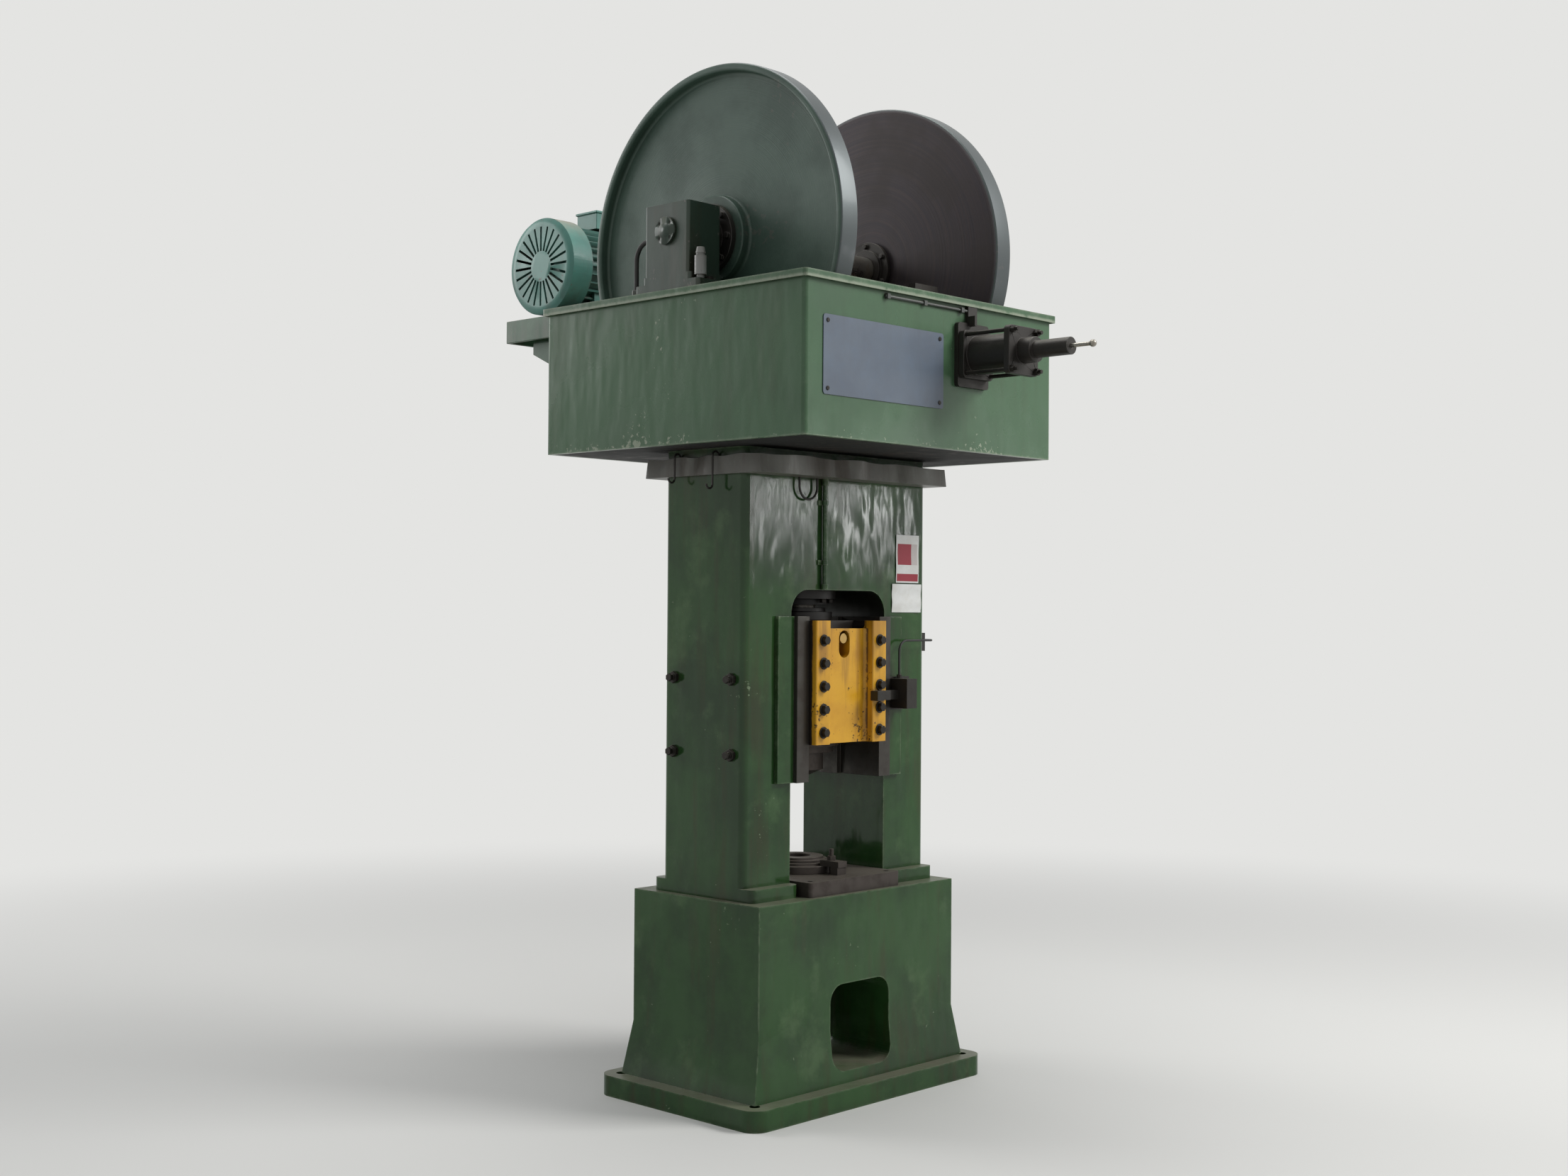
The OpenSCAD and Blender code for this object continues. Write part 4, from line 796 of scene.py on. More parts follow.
@dataclass
class Shell:
    """A bare mesh: vertices as an array and faces as lists of vertex numbers."""

    points: np.ndarray
    faces: list[list[int]] = field(default_factory=list)

    def moved(self, x: float, y: float, z: float) -> "Shell":
        """Return the shell shifted by a vector."""
        return Shell(self.points + np.array([x, y, z]), self.faces)

    def aimed(self, axis: str) -> "Shell":
        """Return the shell with its +Z turned to the named axis: +X, -X, +Y, -Y, +Z or -Z."""
        x, y, z = self.points.T
        turned = {
            "+X": (z, y, -x),
            "-X": (-z, y, x),
            "+Y": (x, z, -y),
            "-Y": (x, -z, y),
            "+Z": (x, y, z),
            "-Z": (x, -y, -z),
        }[axis]
        return Shell(np.stack(turned, axis=1), self.faces)

    @staticmethod
    def joined(parts: list["Shell"]) -> "Shell":
        """Return several shells as one."""
        starts = np.cumsum([0] + [len(part.points) for part in parts[:-1]])
        faces = [
            [v + int(start) for v in face]
            for part, start in zip(parts, starts)
            for face in part.faces
        ]
        return Shell(np.concatenate([part.points for part in parts]), faces)

    @staticmethod
    def grid(
        points: np.ndarray, wrap_rows: bool, wrap_columns: bool, capped: bool = False
    ) -> "Shell":
        """Make a skin over a grid of points.

        Args:
            points: An array of rows by columns by 3.
            wrap_rows: Join the last row to the first.
            wrap_columns: Join the last column to the first.
            capped: Close the first and the last row with one face each.

        Returns:
            The shell. With rows rising along Z and columns turning left, faces look outward.
        """
        rows, columns = points.shape[:2]
        index = np.arange(rows * columns).reshape(rows, columns)
        low = index if wrap_rows else index[:-1]
        high = np.roll(index, -1, axis=0) if wrap_rows else index[1:]
        if wrap_columns:
            quads = np.stack([low, np.roll(low, -1, 1), np.roll(high, -1, 1), high], axis=-1)
        else:
            quads = np.stack([low[:, :-1], low[:, 1:], high[:, 1:], high[:, :-1]], axis=-1)
        faces = quads.reshape(-1, 4).tolist()
        if capped:
            faces.append(index[0][::-1].tolist())
            faces.append(index[-1].tolist())
        return Shell(points.reshape(-1, 3), faces)

    @staticmethod
    def polar(radius: np.ndarray, angle: np.ndarray, height: np.ndarray) -> np.ndarray:
        """Return a grid of points (r cos a, r sin a, h), with one row for each height."""
        level = np.repeat(height[:, None], len(angle), axis=1)
        return np.stack([radius * np.cos(angle), radius * np.sin(angle), level], axis=-1)

    @staticmethod
    def lathe(profile: list[Pair], segments: int) -> np.ndarray:
        """Return the grid of a profile of radius and height turned round the Z axis."""
        radius, height = np.array(profile).T
        return Shell.polar(radius[:, None], around(segments), height)

    @staticmethod
    def revolved(profile: list[Pair], segments: int, closed: bool) -> "Shell":
        """Turn a profile round the Z axis: each point goes to (r cos a, r sin a, h).

        Args:
            profile: Points of radius and height, rising on the outside.
            segments: Steps in a full turn.
            closed: Join the last point to the first; otherwise both ends are capped.
        """
        return Shell.grid(Shell.lathe(profile, segments), closed, True, capped=not closed)

    @staticmethod
    def tube(path: np.ndarray, radius: float, sides: int = 20) -> "Shell":
        """Sweep a circle along a path, with side vectors carried from point to point."""
        ahead = np.gradient(path, axis=0)
        ahead /= np.linalg.norm(ahead, axis=1)[:, None]
        start = np.array([0.0, 0.0, 1.0]) if abs(ahead[0][2]) < 0.9 else np.array([1.0, 0.0, 0.0])
        side = np.cross(start, ahead[0])
        rings = []
        angle = around(sides)[:, None]
        for point, direction in zip(path, ahead):
            side = side - direction * np.dot(side, direction)
            side /= np.linalg.norm(side)
            other = np.cross(direction, side)
            rings.append(point + radius * (np.cos(angle) * side + np.sin(angle) * other))
        return Shell.grid(np.array(rings), False, True, capped=True)

    @staticmethod
    def hexagon(
        across: float, height: float, washer: float = 0.0, washer_h: float = 0.0
    ) -> "Shell":
        """Make a bolt head whose corners are cut by a cone, on a washer.

        At each height the radius is the smaller of the hexagon's and the cone's. The hexagon's
        radius at an angle is half the flats divided by the cosine of the angle from the flat.
        """
        top_share, cone_slope, edge_share = 0.47, 1.73, 0.25
        angle = around(48)
        from_flat = np.mod(angle, TURN / 6) - TURN / 12
        flat = across / 2 / np.cos(from_flat)
        levels = np.array([0.0, 0.6, 0.7, 0.8, 0.9, 1.0]) * height
        cone = across * top_share + (height - levels) * cone_slope
        radius = np.minimum(flat[None, :], cone[:, None])
        points = Shell.polar(radius, angle, levels + washer_h)
        head = Shell.grid(points, False, True, capped=True)
        if not washer:
            return head
        edge = min(washer_h, washer / 2) * edge_share
        outline = [
            (washer / 2, 0.0),
            (washer / 2, washer_h - edge),
            (washer / 2 - edge, washer_h),
        ]
        return Shell.joined([Shell.revolved(outline, 40, False), head])

    @staticmethod
    def rounded_rod(radius: float, length: float, edge: float, segments: int = 48) -> "Shell":
        """Make a rod along Z with chamfered ends."""
        side = [(radius, edge), (radius, length - edge)]
        outline = [(radius - edge, 0.0), *side, (radius - edge, length)]
        return Shell.revolved(outline, segments, False)


def rounded_loop(half_x: float, half_y: float, corner: float, step: float) -> np.ndarray:
    """Return points round a rectangle with round corners, turning left from the +X side.

    Returns:
        An array of points in X and Y, no further apart than about step.
    """
    pieces = []
    for quarter, (sx, sy) in enumerate([(1, 1), (-1, 1), (-1, -1), (1, -1)]):
        angle = np.linspace(0, math.pi / 2, 7) + quarter * math.pi / 2
        centre = np.array([sx * (half_x - corner), sy * (half_y - corner)])
        pieces.append(centre + corner * np.stack([np.cos(angle), np.sin(angle)], axis=1))
    loop = np.concatenate(pieces)
    closed = np.vstack([loop, loop[:1]])
    lengths = np.linalg.norm(np.diff(closed, axis=0), axis=1)
    counts = np.maximum(1, np.ceil(lengths / step).astype(int))
    dense = [
        a + (b - a) * np.arange(n)[:, None] / n for a, b, n in zip(closed[:-1], closed[1:], counts)
    ]
    return np.concatenate(dense)


class Assembly:
    """Common work of the sub-assemblies: put pieces in the scene, dress and report them."""

    body = "frame"

    def put(
        self,
        name: str,
        shell: Shell,
        finish: Finish,
        slot: str,
        nodes: tuple[str, ...] = (),
        body: str | None = None,
    ) -> bpy.types.Object:
        """Make an object from a shell, dress it and let it ride on its body.

        Args:
            name: Piece name.
            shell: Its surface, in the row frame.
            finish: Its look.
            slot: The record's material slot; not used.
            nodes: CAD nodes that it stands for.
            body: CAD body that carries it; the class's own if left out.

        Returns:
            The new object.
        """
        mesh = bpy.data.meshes.new(name)
        mesh.from_pydata(shell.points.tolist(), [], shell.faces)
        mesh.update()
        mesh.shade_smooth()
        mesh.set_sharp_from_angle(angle=SHARP_ANGLE)
        return self.finish_piece(name, mesh, finish, nodes, body)

    def finish_piece(
        self,
        name: str,
        mesh: bpy.types.Mesh,
        finish: Finish,
        nodes: tuple[str, ...],
        body: str | None,
    ) -> bpy.types.Object:
        """Link a mesh as an object with its material and body, and hide the nodes it replaces."""
        thing = bpy.data.objects.new(name, mesh)
        bpy.context.scene.collection.objects.link(thing)
        mesh.materials.clear()
        mesh.materials.append(finish.material())
        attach(thing, body or self.body)
        if nodes:
            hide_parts(*nodes)
        log.info("%s: %d faces, on %s", name, len(mesh.polygons), body or self.body)
        return thing

    def copy_cad(
        self,
        node: str,
        width: float,
        segments: int = 2,
        finish: Finish | None = None,
        body: str | None = None,
    ) -> bpy.types.Object:
        """Make a merged copy of a CAD piece with rounded edges and dress it.

        Args:
            node: CAD node name.
            width: Bevel width in metres; none at 0.
            segments: Steps in each rounded edge.
            finish: Its look; the slot's own if left out.
            body: CAD body that carries it.
        """
        source = frame["nodes"][node]
        work = bmesh.new()
        work.from_mesh(source.data)
        work.transform(source.matrix_world)
        bmesh.ops.remove_doubles(work, verts=work.verts, dist=MERGE_DISTANCE)
        if width:
            bmesh.ops.dissolve_limit(
                work, angle_limit=FLAT_ANGLE, verts=work.verts, edges=work.edges
            )
            bmesh.ops.triangulate(work, faces=[face for face in work.faces if len(face.verts) > 4])
        mesh = bpy.data.meshes.new(node + "_look")
        work.to_mesh(mesh)
        work.free()
        mesh.shade_smooth()
        mesh.set_sharp_from_angle(angle=SHARP_ANGLE)
        slot = SLOT_OF[node]
        look = finish or NODE_FINISH[slot]
        thing = self.finish_piece(node + "_look", mesh, look, (node,), body)
        if width:
            bevel = thing.modifiers.new("round", "BEVEL")
            bevel.width = width
            bevel.segments = segments
            bevel.limit_method = "ANGLE"
            bevel.angle_limit = SHARP_ANGLE
            bevel.miter_outer = "MITER_ARC"
            even = thing.modifiers.new("even", "WEIGHTED_NORMAL")
            even.keep_sharp = True
        return thing


def slots_by_node() -> dict[str, str]:
    """Return each CAD node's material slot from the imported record."""
    return {part["node"]: part["material_slot"] for part in frame["record"]["subparts"]}


SLOT_OF = slots_by_node()


# Sub-assemblies


@dataclass
class FrameCasting(Assembly):
    """The one-piece frame with its guides, bed and nut."""

    cast_edge: float = 0.012
    fine_edge: float = 0.0012

    def build(self) -> None:
        """Dress the casting and the pieces that are fixed inside it."""
        self.copy_cad("frame_casting", self.cast_edge, FINE_STEPS)
        for node in ("bolster_plate", "guide_pads", "buffer_ring", "ejector_cylinder"):
            self.copy_cad(node, self.fine_edge)
        self.copy_cad("guide_gibs", self.fine_edge, finish=GIB_STEEL)
        self.copy_cad("screw_nut", self.fine_edge, finish=NUT_BLACK)
        for node in ("bolster_screws", "nut_bolts", "gib_bolts"):
            self.copy_cad(node, BOLT_EDGE)
        self.copy_cad("ejector_pin", BOLT_EDGE, body="ejector")


@dataclass
class DieStack(Assembly):
    """The dies, their holders and the clamps."""

    def build(self) -> None:
        """Dress the lower tools on the bed and the upper tools on the ram."""
        for node in ("lower_die_holder", "lower_die", "die_clamps"):
            self.copy_cad(node, TOOL_EDGE)
        for node in ("upper_die_holder", "upper_die"):
            self.copy_cad(node, TOOL_EDGE, body="ram")


@dataclass
class RamAssembly(Assembly):
    """The yellow ram with its strips, bolts, cap and pin."""

    body = "ram"
    bolt_x: float = 0.1445
    bolt_y: float = -0.2545
    bolt_z0: float = 1.247
    bolt_pitch: float = 0.078
    bolt_rows: int = 5
    bolt_af: float = 0.027
    bolt_h: float = 0.015
    washer_over: float = 0.013
    washer_h: float = 0.004

    def bolts(self) -> Shell:
        """Return the ten strip bolts on their washers."""
        washer = self.bolt_af + self.washer_over
        head = Shell.hexagon(self.bolt_af, self.bolt_h, washer, self.washer_h).aimed("-Y")
        heights = self.bolt_z0 + self.bolt_pitch * np.arange(self.bolt_rows)
        sides = (-self.bolt_x, self.bolt_x)
        return Shell.joined([head.moved(x, self.bolt_y, z) for x in sides for z in heights])

    def build(self) -> None:
        """Dress the ram's block and the pieces on it."""
        self.copy_cad("ram_body", PLATE_EDGE, FINE_STEPS)
        self.copy_cad("ram_strips", PLATE_EDGE, FINE_STEPS)
        self.put("ram_bolts_look", self.bolts(), BLACK_BOLTS, "black_bolts", ("ram_bolts",))
        self.copy_cad("ram_pin", TOOL_EDGE)
        self.copy_cad("ram_cap", STEEL_EDGE, finish=NUT_BLACK)
        self.copy_cad("ram_dog", TOOL_EDGE)


@dataclass
class ScrewTrain(Assembly):
    """The multi-start screw with its flywheel, lining and lock nut.

    Each rod below or above the thread is its radius, length, chamfer, height of the lower end
    and steps in a turn.
    """

    body = "screw"
    lead: float = 0.125
    starts: int = 3
    outer: float = 0.07
    depth: float = 0.009
    thread_z: Pair = (1.694, 2.41)
    thread_row: float = 0.0026
    thread_steps: int = 96
    crest: float = 0.38
    flank: float = 0.24
    below: tuple[Rod, ...] = (
        (0.055, 0.121, 0.002, 1.476, 48),
        (0.08, 0.0297, 0.002, 1.596, 64),
        (0.06, 0.1, 0.001, 1.595, 64),
    )
    above: tuple[Rod, ...] = (
        (0.066, 0.215, 0.002, 2.406, 64),
        (0.062, 0.175, 0.001, 2.619, 64),
        (0.035, 0.045, 0.003, 2.792, 64),
    )

    def thread(self) -> Shell:
        """Return the threaded length.

        The phase at an angle and a height is starts times (height / lead less turns), and its
        fraction gives the place on a trapezoid: crest, flank, root and flank.
        """
        z0, z1 = self.thread_z
        rows = np.arange(z0, z1, self.thread_row)
        rows[-1] = z1
        angle = around(self.thread_steps)
        phase = self.starts * (rows[:, None] / self.lead - angle[None, :] / TURN)
        place = np.abs(np.mod(phase, 1.0) * 2 - 1)
        shape = np.clip((place - self.crest) / self.flank, 0, 1)
        radius = self.outer - self.depth * shape
        return Shell.grid(Shell.polar(radius, angle, rows), False, True, capped=True)

    def build(self) -> None:
        """Make the screw from its plain lengths and the thread, and dress the wheel."""
        below, above = (
            [Shell.rounded_rod(r, h, edge, steps).moved(0, 0, z) for r, h, edge, z, steps in rods]
            for rods in (self.below, self.above)
        )
        whole = Shell.joined([*below, self.thread(), *above])
        self.put("screw_look", whole, BRIGHT_STEEL, "bright_steel", ("screw",))
        self.copy_cad("flywheel", PLATE_EDGE)
        self.copy_cad("rim_lining", STEEL_EDGE)
        self.copy_cad("lock_nut", TOOL_EDGE)


@dataclass
class CrownBox(Assembly):
    """The sheet crown over the frame, its gutter, hooks, pipes and plate."""

    gutter_half: Pair = (0.483, 0.2825)
    gutter_z: Pair = (2.11, 2.172)
    frame_half: Pair = (0.465, 0.1925)
    sheet: float = 0.003
    sheet_lip: float = 0.0004
    fold: float = 0.03
    frame_gap: float = 0.0003
    outside_gap: float = 0.001
    corners: Pair = (0.024, 0.012)
    spacing: float = 0.02
    loop_steps: int = 320
    dent: float = 0.0045
    sag: float = 0.0025
    plate_at: Point = (-0.264, -0.6228, 2.456)
    plate_screws: Pair = (0.275, 0.106)

    def gutter(self) -> Shell:
        """Return the drip gutter as a bent and dented sheet.

        A closed section, in share of the way out, height and share of the dents, is swept round
        the frame. The wall is pushed in and out by three waves along the loop that grow toward
        its lip, and the lip rises and falls by a fourth.
        """
        z0, z1 = self.gutter_z
        fold, top = z0 + self.fold, z0 + self.sheet
        steps = np.linspace(0, 1, self.loop_steps, endpoint=False)
        inner, outer = (
            self.spaced(rounded_loop(half[0] + gap, half[1] + gap, corner, self.spacing), steps)
            for half, gap, corner in (
                (self.frame_half, self.frame_gap, self.corners[0]),
                (self.gutter_half, -self.outside_gap, self.corners[1]),
            )
        )
        wave = np.sin(steps * 59 + 1.3)
        wave = wave + 0.7 * np.sin(steps * 131 + 0.4) + 0.5 * np.sin(steps * 240)
        section = [(0.0, z0, 0), (1.0, z0, 0), (1.0, fold, 0.5), (1.0, z1, 1.0)]
        back = [(1.0, z1 - self.sheet_lip, 1.0), (1.0, fold, 0.5), (1.0, top, 0), (0.0, top, 0)]
        away = outer - inner
        away /= np.linalg.norm(away, axis=1)[:, None]
        rows = []
        for inward, part in ((0.0, section), (self.sheet, back)):
            for share, height, shake in part:
                shift = (self.dent * shake * (wave - 1.2) - inward * (share > 0))[:, None]
                flat = inner + (outer - inner) * share + away * shift
                level = height + self.sag * shake * np.sin(steps * 83)
                rows.append(np.column_stack([flat, level]))
        return Shell.grid(np.array(rows), True, True)

    @staticmethod
    def spaced(loop: np.ndarray, steps: np.ndarray) -> np.ndarray:
        """Return a closed loop resampled by angle, so that two loops face each other."""
        x, y = (loop / np.abs(loop).max(axis=0)).T
        angle = np.unwrap(np.arctan2(y, x))
        angle = np.append(angle, angle[0] + TURN)
        closed = np.vstack([loop, loop[:1]])
        wanted = angle[0] + steps * TURN
        return np.stack([np.interp(wanted, angle, column) for column in closed.T], axis=1)

    def build(self) -> None:
        """Dress the crown and make its gutter and the plate's screws."""
        self.copy_cad("crown_shell", CASTING_EDGE, FINE_STEPS)
        self.copy_cad("crown_lid", PLATE_EDGE)
        self.copy_cad("crown_floor", STEEL_EDGE)
        self.copy_cad("crown_fasteners", TRIM_EDGE)
        self.put("gutter_look", self.gutter(), GUTTER_SHADED_GREY, "gutter_grey", ("gutter",))
        for node in ("gutter_hooks", "lube_pipe", "air_pipe", "nameplate"):
            self.copy_cad(node, WIRE_EDGE)
        head = Shell.rounded_rod(0.007, 0.003, 0.001, 24).aimed("-Y")
        px, py, pz = self.plate_at
        out, up = self.plate_screws
        screws = [head.moved(px + x, py, pz + z) for x in (-out, out) for z in (-up, up)]
        self.put("nameplate_screws", Shell.joined(screws), BLACK_BOLTS, "black_bolts")


@dataclass
class BrakeUnit(Assembly):
    """The air cylinder on the crown's front, with its rod and shoe."""

    def build(self) -> None:
        """Dress the fixed unit and the moving rod and shoe."""
        for node in ("brake_flange", "brake_cylinder"):
            self.copy_cad(node, STEEL_EDGE)
        self.copy_cad("brake_tie_rods", TRIM_EDGE)
        self.copy_cad("brake_rod", TRIM_EDGE, body="brake")
        self.copy_cad("brake_shoe", STEEL_EDGE, body="brake")


@dataclass
class DiscDrive(Assembly):
    """The cross shaft with both friction discs, hubs, quills, pedestals and belt."""

    disc_r: float = 0.59
    disc_in: float = 0.363
    disc_t: float = 0.08
    bore_r: float = 0.0481
    web_t: float = 0.044
    rim_w: float = 0.026
    edge_r: float = 0.009
    fillet: float = 0.01
    face_edge: float = 0.004
    boss_r: float = 0.15
    disc_steps: int = 256
    turned_steps: int = 128
    shaft_r: float = 0.048
    journal_r: float = 0.038
    quill_r: float = 0.061
    quill_gap: float = 0.00005
    shoulder_gap: float = 0.0003
    shoulders: Pair = (-0.5034, 0.4734)
    end_edge: float = 0.0012
    hose_at: Point = (-0.618, 0.104, 2.89)
    hose_bend: float = 0.06
    hose_out: float = 0.014
    hose_end: float = 2.71
    hose_d: float = 0.016
    hose_nut: Pair = (0.026, 0.014)
    hose_gland: Pair = (0.027, 0.022)

    def section(self) -> tuple[list[Pair], list[Pair]]:
        """Return the disc's half section as two open profiles of radius and width.

        The first is the flat friction face, up to the chamfer at its edge. The second runs from
        there round the rim, down the dished back and over the boss to the bore. Round parts are
        quarter circles and the dish joins rim and boss through small fillets.
        """
        r, edge, fillet, lip = self.disc_r, self.edge_r, self.fillet, self.face_edge
        turn = np.linspace(0, math.pi / 2, 7)
        cos, sin = np.cos(turn), np.sin(turn)

        def quarter(x: float, y: float, size: float, *steps: np.ndarray) -> list[Pair]:
            """Return a quarter circle round (x, y) from its steps across and up."""
            across, up = steps
            return list(zip((x + size * across).tolist(), (y + size * up).tolist()))

        rim_in = r - self.rim_w
        top = self.disc_t - edge
        root = self.web_t + fillet
        face = [(self.bore_r, 0.0), (0.2, 0.0), (0.4, 0.0), (r - lip, 0.0)]
        back = [
            face[-1],
            (r, lip),
            *quarter(r - edge, top, edge, cos, sin),
            *quarter(rim_in + edge, top, edge, -sin, cos),
            *quarter(rim_in - fillet, root, fillet, cos, -sin),
            *quarter(self.boss_r + fillet, root, fillet, -sin, -cos),
            (self.boss_r, self.disc_t - lip),
            (self.boss_r - lip, self.disc_t),
            (self.bore_r, self.disc_t),
        ]
        return face, back

    def disc(self, axis: str, side: float, profile: list[Pair]) -> Shell:
        """Return one profile turned round the cross shaft; side is -1 or 1."""
        skin = Shell.grid(Shell.lathe(profile, self.disc_steps), False, True)
        return skin.aimed(axis).moved(side * self.disc_in, 0, SHAFT_Z)

    def turned(self, profile: list[Pair], closed: bool) -> Shell:
        """Return a profile of radius and X turned round the cross shaft in fine steps."""
        skin = Shell.revolved(profile, self.turned_steps, closed)
        return skin.aimed("+X").moved(0, 0, SHAFT_Z)

    def shaft(self) -> Shell:
        """Return the shaft: a journal at each end of a thicker middle, with chamfered edges."""
        low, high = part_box("disc_shaft")
        edge = self.end_edge
        left, right = self.shoulders
        profile = [
            (self.journal_r - edge, low[0]),
            (self.journal_r, low[0] + edge),
            (self.journal_r, left),
            (self.shaft_r - edge, left),
            (self.shaft_r, left + edge),
            (self.shaft_r, right - edge),
            (self.shaft_r - edge, right),
            (self.journal_r, right),
            (self.journal_r, high[0] - edge),
            (self.journal_r - edge, high[0]),
        ]
        return self.turned(profile, False)

    def quills(self) -> Shell:
        """Return the two quills: chamfered sleeves, a running gap outside the journals."""
        low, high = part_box("quills")
        edge = self.end_edge
        left, right = self.shoulders
        bore = self.journal_r + self.quill_gap
        sleeves = []
        r = self.quill_r
        ends = ((low[0], left - self.shoulder_gap), (right + self.shoulder_gap, high[0]))
        for start, end in ends:
            outside = [(r - edge, start), (r, start + edge), (r, end - edge), (r - edge, end)]
            sleeves.append(self.turned([*outside, (bore, end), (bore, start)], True))
        return Shell.joined(sleeves)

    def build(self) -> None:
        """Make the discs from their section and dress the rest of the drive."""
        self.body = "discs"
        face, back = self.section()
        for name, axis, side in (("left", "-X", -1), ("right", "+X", 1)):
            skin = self.disc(axis, side, back)
            bare = self.disc(axis, side, face)
            bore = self.disc(axis, side, [(self.bore_r, self.disc_t), (self.bore_r, 0.0)])
            joined = Shell.joined([bare, skin, bore])
            node = f"disc_{name}"
            thing = self.put(f"{node}_look", joined, DISC_PAINT, "disc_green", (node,))
            self.merge(thing.data)
            thing.data.materials.append(DISC_BARE.material())
            inside = side * self.disc_in
            centres = np.array([polygon.center[0] for polygon in thing.data.polygons])
            kinds = (np.abs(centres - inside) < FLAT_DEPTH).astype(int)
            thing.data.polygons.foreach_set("material_index", kinds)
        self.copy_cad("disc_hubs", TOOL_EDGE)
        self.put("disc_shaft_look", self.shaft(), BRIGHT_STEEL, "bright_steel", ("disc_shaft",))
        self.copy_cad("shaft_pulley", PLATE_EDGE)
        self.body = "frame"
        for node in ("pedestal_left", "pedestal_right"):
            self.copy_cad(node, CASTING_EDGE, FINE_STEPS, PEDESTAL_SHADED_GREEN)
        self.copy_cad("bearing_cap", NO_EDGE, finish=PEDESTAL_SHADED_GREEN)
        self.copy_cad("lubricator", PLATE_EDGE, FINE_STEPS)
        self.copy_cad("drive_belt", NO_EDGE)
        self.hose()
        self.put("quills_look", self.quills(), BRIGHT_STEEL, "bright_steel", ("quills",), "shift")

    @staticmethod
    def merge(mesh: bpy.types.Mesh) -> None:
        """Join the points that parts of one piece share."""
        work = bmesh.new()
        work.from_mesh(mesh)
        bmesh.ops.remove_doubles(work, verts=work.verts, dist=MERGE_DISTANCE)
        bmesh.ops.recalc_face_normals(work, faces=work.faces)
        work.to_mesh(mesh)
        work.free()
        mesh.shade_smooth()
        mesh.set_sharp_from_angle(angle=SHARP_ANGLE)

    def hose(self) -> None:
        """Make the air hose: straight out, a quarter bend, then down to its gland."""
        x, y, z = self.hose_at
        bend, end = self.hose_bend, self.hose_end
        far = y + self.hose_out
        arc = np.linspace(0, math.pi / 2, 12)
        out = track(x, y + np.linspace(0, 0.012, 4), z)
        quarter = track(x, far + bend * np.sin(arc), z - bend + bend * np.cos(arc))
        down = track(x, far + bend, np.linspace(z - bend - 0.01, end, 8))
        path = np.concatenate([out, quarter, down])
        fittings = [
            Shell.hexagon(*self.hose_nut).aimed("+Y").moved(x, y, z),
            Shell.hexagon(*self.hose_gland).moved(x, far + bend, end),
        ]
        skin = Shell.tube(path, self.hose_d / 2)
        hose = self.put("shift_hose_look", skin, RUBBER, "black_rubber", ("shift_hose",))
        ends = self.put("shift_hose_ends", Shell.joined(fittings), PULLEY_IRON, "pulley_iron")


@dataclass
class MotorUnit(Assembly):
    """The motor with its cowl and box on the platform behind the crown."""

    def build(self) -> None:
        """Dress the platform, the motor and its pulley."""
        self.copy_cad("motor_platform", PLATE_EDGE)
        self.copy_cad("platform_brackets", STEEL_EDGE)
        self.copy_cad("motor_body", NO_EDGE)
        self.copy_cad("motor_cowl", NO_EDGE)
        self.copy_cad("terminal_box", PLATE_EDGE, FINE_STEPS)
        self.copy_cad("motor_pulley", STEEL_EDGE, body="motor_rotor")


